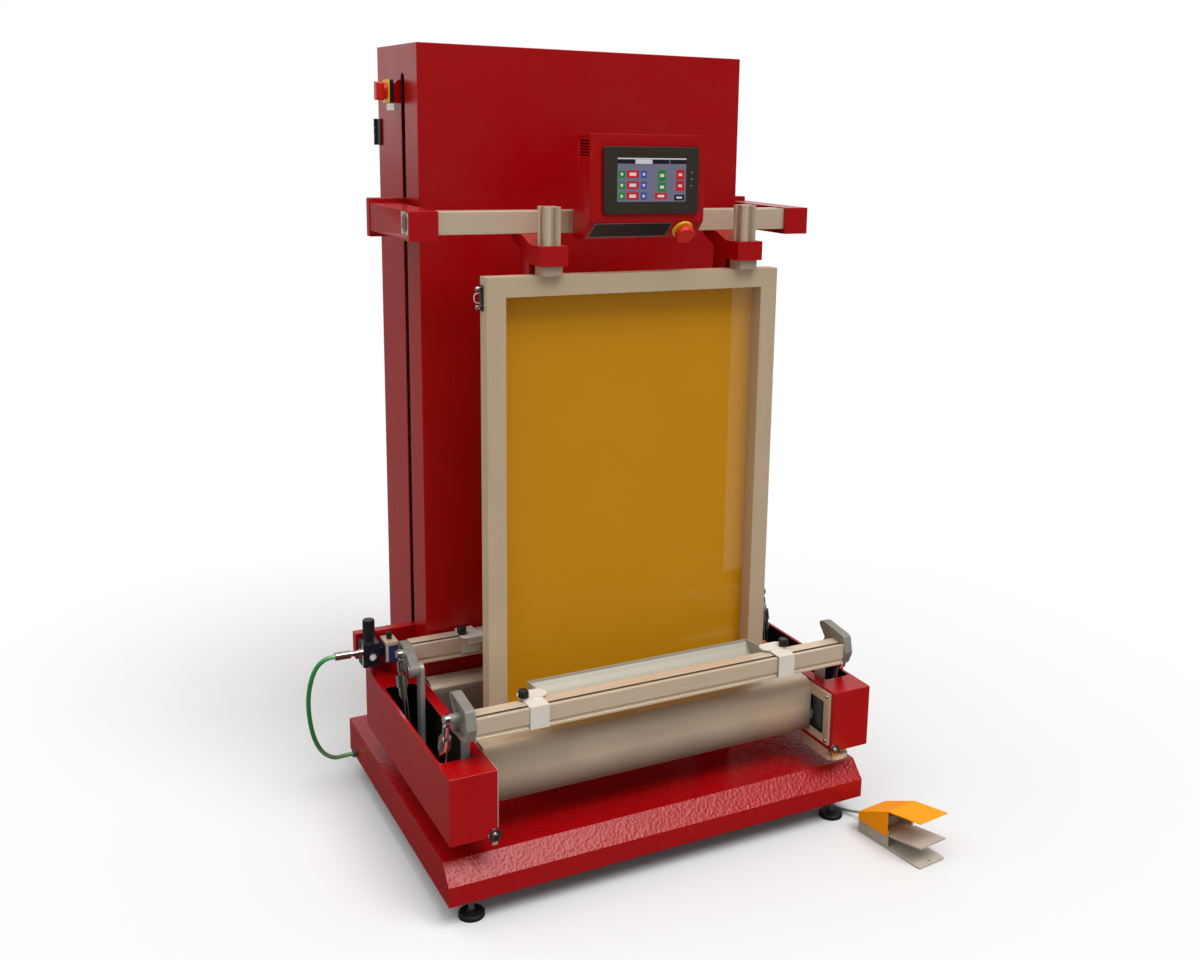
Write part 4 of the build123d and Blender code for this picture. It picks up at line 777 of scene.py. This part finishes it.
# Coaters
# Square extruded bars, cast end wings, and stands with a pivot pin. Each air cylinder has a steel
# barrel, a nut and a rod whose eye sits on the wing's pin. Two straps hold each trough.
cast = Finish("cast aluminium", metallic=0.15, roughness=0.5)
cast.mottle((0.2, 0.19, 0.165, 1), (0.28, 0.265, 0.23, 1), 420, 0.3, 30, 0.0005)
stand_grey = Finish("grey machined stand", metallic=0.35, roughness=0.4)
stand_grey.mottle((0.34, 0.33, 0.32, 1), (0.48, 0.47, 0.45, 1), 500, 0.15, 25)
chrome = Finish("polished steel", metallic=1.0, roughness=0.14)
chrome.mottle((0.6, 0.6, 0.58, 1), (0.74, 0.73, 0.71, 1), 900, 0.03, 90)
clip_pale = Finish("pale clip aluminium", metallic=0.1, roughness=0.42)
clip_pale.mottle((0.66, 0.62, 0.54, 1), (0.78, 0.74, 0.66, 1), 500, 0.1, 40)
trough_dark = (0.32, 0.3, 0.24, 1)
trough_bright = (0.44, 0.41, 0.33, 1)
trough_pale = brushed("trough aluminium", "x", trough_dark, trough_bright, 0.42, 0.15)
black_knob = Finish("black knob plastic", roughness=0.38, specular=0.45)
black_knob.mottle((0.008, 0.008, 0.007, 1), (0.02, 0.019, 0.017, 1), 900, 0.15, 60)
# The walls of the grooves in the square bars' tops are painted dark: painted shade.
groove_shade = Finish("dark groove", roughness=0.7, metallic=0.2)
groove_shade.mottle((0.06, 0.05, 0.045, 1), (0.11, 0.1, 0.09, 1), 500, 0.1, 40)
coater_middle = -230
pivot_z = 385
profile = 45
bar_drop = 4
coater_bar_top = pivot_z - bar_drop + profile
skin = 0.5
groove_depth = 4
coater_groove_half = 427
pin_from = 450
pin_drop = 12
clip_from = 266
thumb_y = -413
thumb_height = 9
knurl_radius = 9.0
knurl_count = 14


def ring_around(x, y, z, radius, count):
    turns = [2 * math.pi * rib / count for rib in range(count)]
    return [(x + radius * math.cos(turn), y + radius * math.sin(turn), z) for turn in turns]


def in_groove(bar_top, half):
    low = bar_top - groove_depth
    high = bar_top - skin
    return lambda spot, normal: low < spot.z < high and abs(spot.x) < half


def on_stand_pin(spot, normal):
    return abs(spot.x) > pin_from and spot.z > pivot_z - pin_drop


def on_clip(spot, normal):
    return abs(spot.x) > clip_from or spot.z > coater_bar_top - skin


for end, knob_y in (("front", thumb_y), ("rear", 2 * coater_middle - thumb_y)):
    bar = eased(f"{end}_coater_bar", f"{end}_bar", 0.0006, satin, flatten=False)
    paint(bar, groove_shade, in_groove(coater_bar_top, coater_groove_half))
    eased(f"{end}_wings", f"{end}_wing_pair", 0.0014, cast)
    stands = eased(f"{end}_trolley", f"{end}_stand_pair", 0.001, stand_grey)
    paint(stands, chrome, on_stand_pin)
    trough = eased(f"{end}_trough", f"{end}_trough_set", 0.0006, trough_pale)
    paint(trough, clip_pale, on_clip)
    eased(f"{end}_barrels", f"{end}_barrel_pair", 0.0006, chrome)
    eased(f"{end}_rods", f"{end}_rod_pair", 0.0004, chrome)
    for side, x in (("left", -316), ("right", 293)):
        body = frame["nodes"][f"{end}_knob_{side}"]["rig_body"]
        eased(f"{end}_knob_{side}", f"{end}_thumb_{side}", 0.0006, black_knob)
        knurl_z = coater_bar_top + thumb_height
        ring = ring_around(x, knob_y, knurl_z, knurl_radius, knurl_count)
        studs(f"{end}_knurl_{side}", ring, "up", 10, 1.1, 12, black_knob, body)

# Air unit
# Regulator and valve block in dark blue enamel on the crossbar, a ribbed black knob, a round gauge
# with a pale face, and a steel coupling with rings.
blue = Finish("blue enamel", roughness=0.32)
blue.mottle(srgb(22, 42, 104), srgb(30, 56, 124), 500, 0.1, 30)
navy = Finish("dark regulator body", roughness=0.35)
navy.mottle(srgb(20, 20, 34), srgb(28, 30, 46), 500, 0.1, 30)
air = eased("air_unit", "air_blocks", 0.001, navy)
valve_left = -463
paint(air, blue, lambda spot, normal: spot.x > valve_left)
gauge_x = -494.5
gauge_front = 27
gauge_z = 380
rim = [(gauge_x, gauge_front + 0.2, gauge_z)]
studs("gauge_rim", rim, "front", 40, 9, 0.5, zinc, "carriage")
gauge_white = Finish("gauge face", roughness=0.3)
gauge_white.mottle(srgb(224, 224, 218), srgb(236, 236, 230), 500, 0.03, 30)
dial = [(gauge_x, gauge_front - 0.1, gauge_z)]
studs("gauge_face", dial, "front", 40, 7.6, 0.3, gauge_white, "carriage")
tick_front = gauge_front - 0.3
tick_radius = 6
tick_count = 9
scale_start = 225
scale_step = 33.75
ticks = []
for mark in range(tick_count):
    turn = math.radians(scale_start - scale_step * mark)
    tick_x = gauge_x + tick_radius * math.cos(turn)
    ticks.append((tick_x, tick_front, gauge_z + tick_radius * math.sin(turn)))
ticks.append((gauge_x, tick_front, gauge_z))
studs("gauge_ticks", ticks, "front", 12, 0.8, 0.3, black_knob, "carriage")
needle_half = 0.6
needle_length = 5.5
needle_low = (gauge_x - needle_half, tick_front - 0.3, gauge_z)
needle_high = (gauge_x + needle_half, tick_front, gauge_z + needle_length)
slab("gauge_needle", needle_low, needle_high, 0, "y", black_knob, "carriage", "panel_glass", 0)
for name, low, high, corner, along in (
    ("valve_band", (-463.4, 34.4, 397), (-434.6, 80.4, 405), 2, "z"),
    ("valve_strip", (-463.4, 34.4, 360), (-457, 36, 397), 0, "y"),
    ("regulator_strip", (-513.4, 38, 356), (-511, 46, 406), 0, "y"),
):
    slab(name, low, high, corner, along, satin, "carriage", "aluminium")
valve_screws = [(-448.8, 34.8, 366), (-448.8, 34.8, 384)]
studs("valve_screws", valve_screws, "front", 24, 3.2, 1.2, steel, "carriage")
eased("air_coupling", "air_socket", 0.0006, steel)
air_line_y = 40
air_line_z = 391
ring_start = -572
ring_pitch = 3.4
ring_count = 9
rings = [(ring_start + ring_pitch * ring, air_line_y, air_line_z) for ring in range(ring_count)]
studs("coupling_rings", rings, "right", 32, 9.25, 1.7, chrome, "carriage", 0.96)


def top_of(node):
    low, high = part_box(node)
    middle_x = (low[0] + high[0]) * 500 - machine.x
    return middle_x, (low[1] + high[1]) * 500 - machine.y, high[2] * 1000


eased("regulator_knob", "regulator_cap", 0.001, black_knob)
body = frame["nodes"]["regulator_knob"]["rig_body"]
knob_x, knob_y, knob_top = top_of("regulator_knob")
grip_drop = 32
grip_radius = 12
grip_ribs = 20
grip = ring_around(knob_x, knob_y, knob_top - grip_drop, grip_radius, grip_ribs)
studs("regulator_ribs", grip, "up", 8, 1.2, 28, black_knob, body, 0.95)
eased("valve_knob", "valve_cap", 0.0006, black_knob)
body = frame["nodes"]["valve_knob"]["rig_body"]
knob_x, knob_y, knob_top = top_of("valve_knob")
cap = [(knob_x, knob_y, knob_top - 0.4)]
studs("valve_cap_disc", cap, "up", 24, 4.2, 0.4, gauge_white, body)

# Green air hose
# Limp polyurethane tube of 10 mm. It comes out of the coupling on the air unit, hangs in one open
# curve and goes into the gland at the back of the base's left side.


def flex(name, route, radius, finish):
    curve = bpy.data.curves.new(name, "CURVE")
    curve.dimensions = "3D"
    curve.bevel_depth = radius
    curve.bevel_resolution = 6
    curve.resolution_u = 10
    spline = curve.splines.new("NURBS")
    spline.points.add(len(route) - 1)
    for point, place in zip(spline.points, route):
        point.co = (*place, 1)
    spline.order_u = 3
    spline.use_endpoint_u = True
    curve.materials.append(finish.material)
    piece = bpy.data.objects.new(name, curve)
    scene.collection.objects.link(piece)
    return piece


hose_tube = Finish("green hose", roughness=0.25, coat=0.3, coat_roughness=0.15)
near_end = hose_tube.ramp(hose_tube.place("X"), -0.59, -0.56)
tube_green = hose_tube.mix(hose_tube.noise(14, 3), srgb(26, 126, 52), srgb(50, 152, 78))
hose_tube.set(
    colour=hose_tube.mix(near_end * 0.5, tube_green, srgb(170, 215, 170)),
    normal=hose_tube.bump(hose_tube.noise(220, 3), 0.08, 0.0005),
)
hose_end = (-574.5, air_line_y, air_line_z)
hose_gland = (-498, 219, 61.5)
hose_points = [
    hose_end,
    (-587, air_line_y, air_line_z),
    (-599.1, 41.5, 386.3),
    (-609.5, 44.5, 376.9),
    (-618, 49, 361.3),
    (-624.3, 57, 336.6),
    (-628.5, 68, 299),
    (-626.1, 84, 258),
    (-618.9, 103, 212.5),
    (-607.7, 124, 169),
    (-592.3, 148, 130.5),
    (-571.4, 176, 95),
    (-545.4, 200, 70.2),
    (-527, 213.9, 63.5),
    (-512, 219, 61.5),
    hose_gland,
]
hose = flex("green_hose", [metres(*point) for point in hose_points], 0.005, hose_tube)
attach(hose, "machine")
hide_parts("air_hose")

# Holder
# Red plate and arms that carry a square aluminium bar with two sliding clamps. The bar's end shows
# in each arm's side, behind four corners of the profile.
eased("holder_plate", "red_plate", 0.002, red_coat)
eased("holder_arms", "red_arms", 0.0006, red_coat, flatten=False)
clamp_bar = eased("holder_bar", "clamp_bar", 0.001, satin)
holder_bar_top = 1366
holder_groove_half = 455
# The holder bar's groove walls are painted dark: painted shade.
paint(clamp_bar, groove_shade, in_groove(holder_bar_top, holder_groove_half))
cap_brown = Finish("brown bar end", roughness=0.5, specular=0.3)
cap_brown.mottle(srgb(122, 88, 82), srgb(142, 106, 98), 500, 0.1, 60)
cap_x = 459
cap_box = ((cap_x - 2, -176, 1323), (cap_x, -135, 1364))
# A thin black strip on each bar end stands for the profile's open slot: painted shade.
slot_shade_box = ((cap_x, -172, 1330), (cap_x + 0.3, -160, 1357))
cap_corners = [(y, z) for y in (-171, -141) for z in (1328, 1359)]
for side, toward in ((-1, "left"), (1, "right")):
    ends = across(side, *cap_box)
    slab(f"bar_end_{toward}", *ends, 2, "x", cap_brown, "holder", "aluminium")
    ends = across(side, *slot_shade_box)
    slab(f"bar_slot_shade_{toward}", *ends, 2, "x", black_metal, "holder", "steel")
    corners = [(side * cap_x, y, z) for y, z in cap_corners]
    studs(f"bar_corners_{toward}", corners, toward, 16, 3.2, 0.9, clip_pale, "holder", 0.8)
for side in ("left", "right"):
    eased(f"{side}_clamp_bracket", f"{side}_bracket", 0.001, red_coat, flatten=False)
    eased(f"{side}_clamp_post", f"{side}_post", 0.0006, satin_up_shaded, flatten=False)

# Operator box
# A folded red box with louvres in its left side. The touch panel in its upright front shows a plain
# layout of coloured tiles, and the sloped face below has a blank plate and the emergency stop.
console = eased("operator_box", "red_operator_box", 0.0006, red_coat, flatten=False)
stop_yellow = Finish("yellow stop collar", roughness=0.35)
stop_yellow.mottle(srgb(245, 190, 30), srgb(252, 204, 50), 600, 0.05, 30)
slope_height = 37
slope_depth = 31
slope_down = Vector((0, -slope_height, -slope_depth)).normalized()
slope_middle = Vector((88, -277.5, 1333.5))
collar_from = 0.4
collar_reach = 24


def on_collar(spot, normal):
    away = spot - slope_middle
    height = away.dot(slope_down)
    return height > collar_from and (away - slope_down * height).length < collar_reach


paint(console, stop_yellow, on_collar)
bezel = Finish("dark bezel", roughness=0.3)
bezel.mottle(srgb(50, 43, 37), srgb(60, 52, 45), 900, 0.08, 20)
eased("touch_panel", "panel_bezel", 0.0012, bezel)


def tiles(name, places, plane, finishes, body):
    corners = []
    faces = []
    numbers = []
    for left, top, width, height, number in places:
        end = left + width
        foot = top + height
        spots = ((left, top), (end, top), (end, foot), (left, foot))
        faces.append([len(corners) + spot for spot in range(4)][::-1])
        corners += [metres(*plane(aside, down, number)) for aside, down in spots]
        numbers.append(number)
    mesh = bpy.data.meshes.new(name)
    mesh.from_pydata(corners, [], faces)
    for finish in finishes:
        mesh.materials.append(finish.material)
    for face, number in zip(mesh.polygons, numbers):
        face.material_index = number
    finished(name, mesh, body)


def lit(name, colour, strength=0.85):
    finish = Finish(name, roughness=0.22, colour=(0.01, 0.01, 0.012, 1))
    shade = finish.mix(finish.noise(120, 2) * 0.2, colour, (0, 0, 0, 1))
    finish.set(glow=shade, glow_strength=strength)
    return finish


display = [
    lit("display ground", srgb(118, 116, 138)),
    lit("display dark", srgb(14, 16, 24)),
    lit("display light", srgb(214, 216, 222)),
    lit("display green", srgb(28, 132, 52)),
    lit("display red", srgb(196, 30, 40)),
    lit("display blue", srgb(40, 84, 178)),
    lit("display pale", srgb(236, 214, 214)),
]
ground, dark, light, green, red, blue_tile, pale_tile = range(len(display))
layout = [(0, 0, 154, 86, ground), (0, 0, 154, 2.4, light)]
layout += [
    (0, 2.9, 38, 8.4, dark),
    (39.7, 2.9, 37, 8.4, light),
    (77.6, 2.9, 37.5, 8.4, dark),
    (117.2, 2.9, 36.8, 8.4, dark),
]
for row in (31.8, 53.3, 74.8):
    layout += [
        (2.3, row - 7.2, 14.7, 14.4, green),
        (20.4, row - 7.4, 27.2, 14.8, red),
        (52, row - 7.2, 13, 14.4, blue_tile),
        (7, row - 2.6, 5.4, 5.2, pale_tile),
        (26.5, row - 3.2, 15, 6.4, pale_tile),
        (56, row - 2.6, 5, 5.2, pale_tile),
    ]
layout += [
    (90.6, 23.6, 18.2, 21.5, green),
    (90.6, 48.2, 18.2, 18, green),
    (83.5, 68.4, 28, 13, red),
    (131.4, 22.4, 19.3, 20, red),
    (131.4, 44.6, 19.3, 20.5, red),
    (128, 72.4, 23, 11.6, dark),
    (95, 31, 9, 6, pale_tile),
    (95, 54, 9, 6, pale_tile),
    (90, 72.4, 15, 5, pale_tile),
    (137, 30, 8, 5, pale_tile),
    (137, 52, 8, 5, pale_tile),
    (133, 76, 13, 4, light),
]
display_left = -72.6
display_front = -300
display_top = 1477
lifts = {ground: 0.06, dark: 0.14, green: 0.14, red: 0.14, blue_tile: 0.14}


def on_panel(aside, down, number):
    return (display_left + aside, display_front - lifts.get(number, 0.2), display_top - down)


tiles("display_picture", layout, on_panel, display, "holder")
lamp_x = 94.5
lamp_rows = (28, 41, 54)
lamps = [(lamp_x, display_front, display_top - down) for down in lamp_rows]
lamp_pale = lit("small lamps", srgb(190, 190, 190), 0.6)
studs("panel_lamps", lamps, "front", 16, 1.3, 0.3, lamp_pale, "holder", 1.0)
slope_length = 48.3
slope_top_y = -293
slope_top_z = 1352
slope_taper = 9
border_lift = 0.5
blank_lift = 0.7


def on_slope(aside, down, number):
    lift = blank_lift if number else border_lift
    share = down / slope_length
    y = slope_top_y + slope_depth * share + slope_down.y * lift
    z = slope_top_z - slope_height * share + slope_down.z * lift
    return (aside - slope_taper * share, y, z)


plate_edge = Finish("plate border", roughness=0.3, metallic=0.6)
plate_edge.mottle((0.3, 0.29, 0.28, 1), (0.4, 0.39, 0.37, 1), 400, 0.05, 20)
plate_black = Finish("blank black plate", roughness=0.22)
plate_black.mottle((0.012, 0.011, 0.012, 1), (0.02, 0.018, 0.02, 1), 400, 0.04, 20)
blank = [(-114, 5, 175, 38, 0), (-112.4, 6.6, 171.8, 34.8, 1)]
tiles("blank_plate", blank, on_slope, [plate_edge, plate_black], "holder")
stop_red = Finish("stop red plastic", roughness=0.25)
stop_red.mottle(srgb(206, 34, 24), srgb(226, 50, 34), 500, 0.05, 30)
eased("estop_button", "red_mushroom", 0.001, stop_red)

# Screen
# A welded aluminium frame with a taut amber mesh glued to its rear face. A fitting with two bolts
# and a wire ring sits high on its left side, and a small black knob on its right.
frame_dark = (0.52, 0.4, 0.27, 1)
frame_bright = (0.71, 0.55, 0.37, 1)
frame_metal = brushed("screen frame metal", "z", frame_dark, frame_bright, 0.42, 0.25)
printing = eased("screen_frame", "printing_frame", 0.0012, frame_metal)
frame_edge = 333.2
fitting_front = -336.2


def on_frame_black(spot, normal):
    return spot.x > frame_edge or fitting_front < spot.x < -frame_edge


paint(printing, chrome, lambda spot, normal: spot.x < fitting_front)
paint(printing, black_knob, on_frame_black)
ring_wire = Finish("white wire", roughness=0.35, metallic=0.4)
ring_wire.mottle((0.7, 0.7, 0.68, 1), (0.82, 0.82, 0.8, 1), 500, 0.05, 40)
wire_y = -237.4
ring_points = [
    (-336.5, wire_y, 1193),
    (-342, wire_y, 1193),
    (-348, wire_y, 1196),
    (-349, wire_y, 1203),
    (-348, wire_y, 1210),
    (-342, wire_y, 1213),
    (-336.5, wire_y, 1213),
]
ring_curve = flex("wire_ring", [metres(*point) for point in ring_points], 0.0011, ring_wire)
ring_mesh = baked(ring_curve)
bpy.data.objects.remove(ring_curve)
for face in ring_mesh.polygons:
    face.use_smooth = True
finished("frame_ring", ring_mesh, "screen")
amber = Finish("amber mesh", roughness=0.32, specular=0.3, alpha=0.82)
amber.mottle((0.59, 0.26, 0.002, 1), (0.64, 0.29, 0.003, 1), 1400, 0.1, 5, 0.0001)
mesh_slots = frame["nodes"]["screen_mesh"].data.materials
mesh_slots.clear()
mesh_slots.append(amber.material)

# Foot pedal
# A grey metal base plate with its body and cheeks, a grey treadle that turns between the cheeks,
# and an orange plastic hood over both.
pedal_grey = Finish("grey pedal enamel", roughness=0.5, specular=0.4)
pedal_grey.mottle(srgb(176, 166, 152), srgb(192, 183, 168), 500, 0.2, 40)
eased("pedal_base", "pedal_body", 0.0012, pedal_grey)
eased("pedal_treadle", "pedal_plate", 0.0008, pedal_grey)
pedal_orange = Finish("orange hood plastic", roughness=0.45, specular=0.08)
pedal_orange.mottle(srgb(252, 148, 2), srgb(255, 162, 6), 800, 0.1, 20)
eased("pedal_hood", "orange_hood", 0.0015, pedal_orange)

# Pedal cord
# Grey two-core sheath of 6 mm, from the gland under the base along the floor to the pedal's back.
pedal_turn = math.radians(7.3)
pedal_x = 487
pedal_y = -502.5
socket_z = 20
straight_run = 14
cord_x = 440
cord_y = -330
cord_start = (cord_x, cord_y, 41)
cord_grey = Finish("grey cord sheath", roughness=0.55, specular=0.4)
cord_grey.mottle(srgb(138, 138, 132), srgb(166, 166, 160), 700, 0.2, 30)
cord_points = [
    cord_start,
    (cord_x, cord_y, 25),
    (cord_x + 1.6, cord_y - 7.8, 11.4),
    (cord_x + 4.3, cord_y - 21.4, 3.6),
    (cord_x + 10, cord_y - 48, 3.3),
    (cord_x + 21, cord_y - 86, 4.5),
    (cord_x + 33, cord_y - 117, 10),
    (cord_x + 41, cord_y - 139, 17),
    (
        pedal_x - straight_run * math.sin(pedal_turn),
        pedal_y + straight_run * math.cos(pedal_turn),
        socket_z,
    ),
    (pedal_x, pedal_y, socket_z),
]
cord = flex("grey_cord", [metres(*point) for point in cord_points], 0.003, cord_grey)
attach(cord, "machine")
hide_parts("pedal_cord")

low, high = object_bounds()
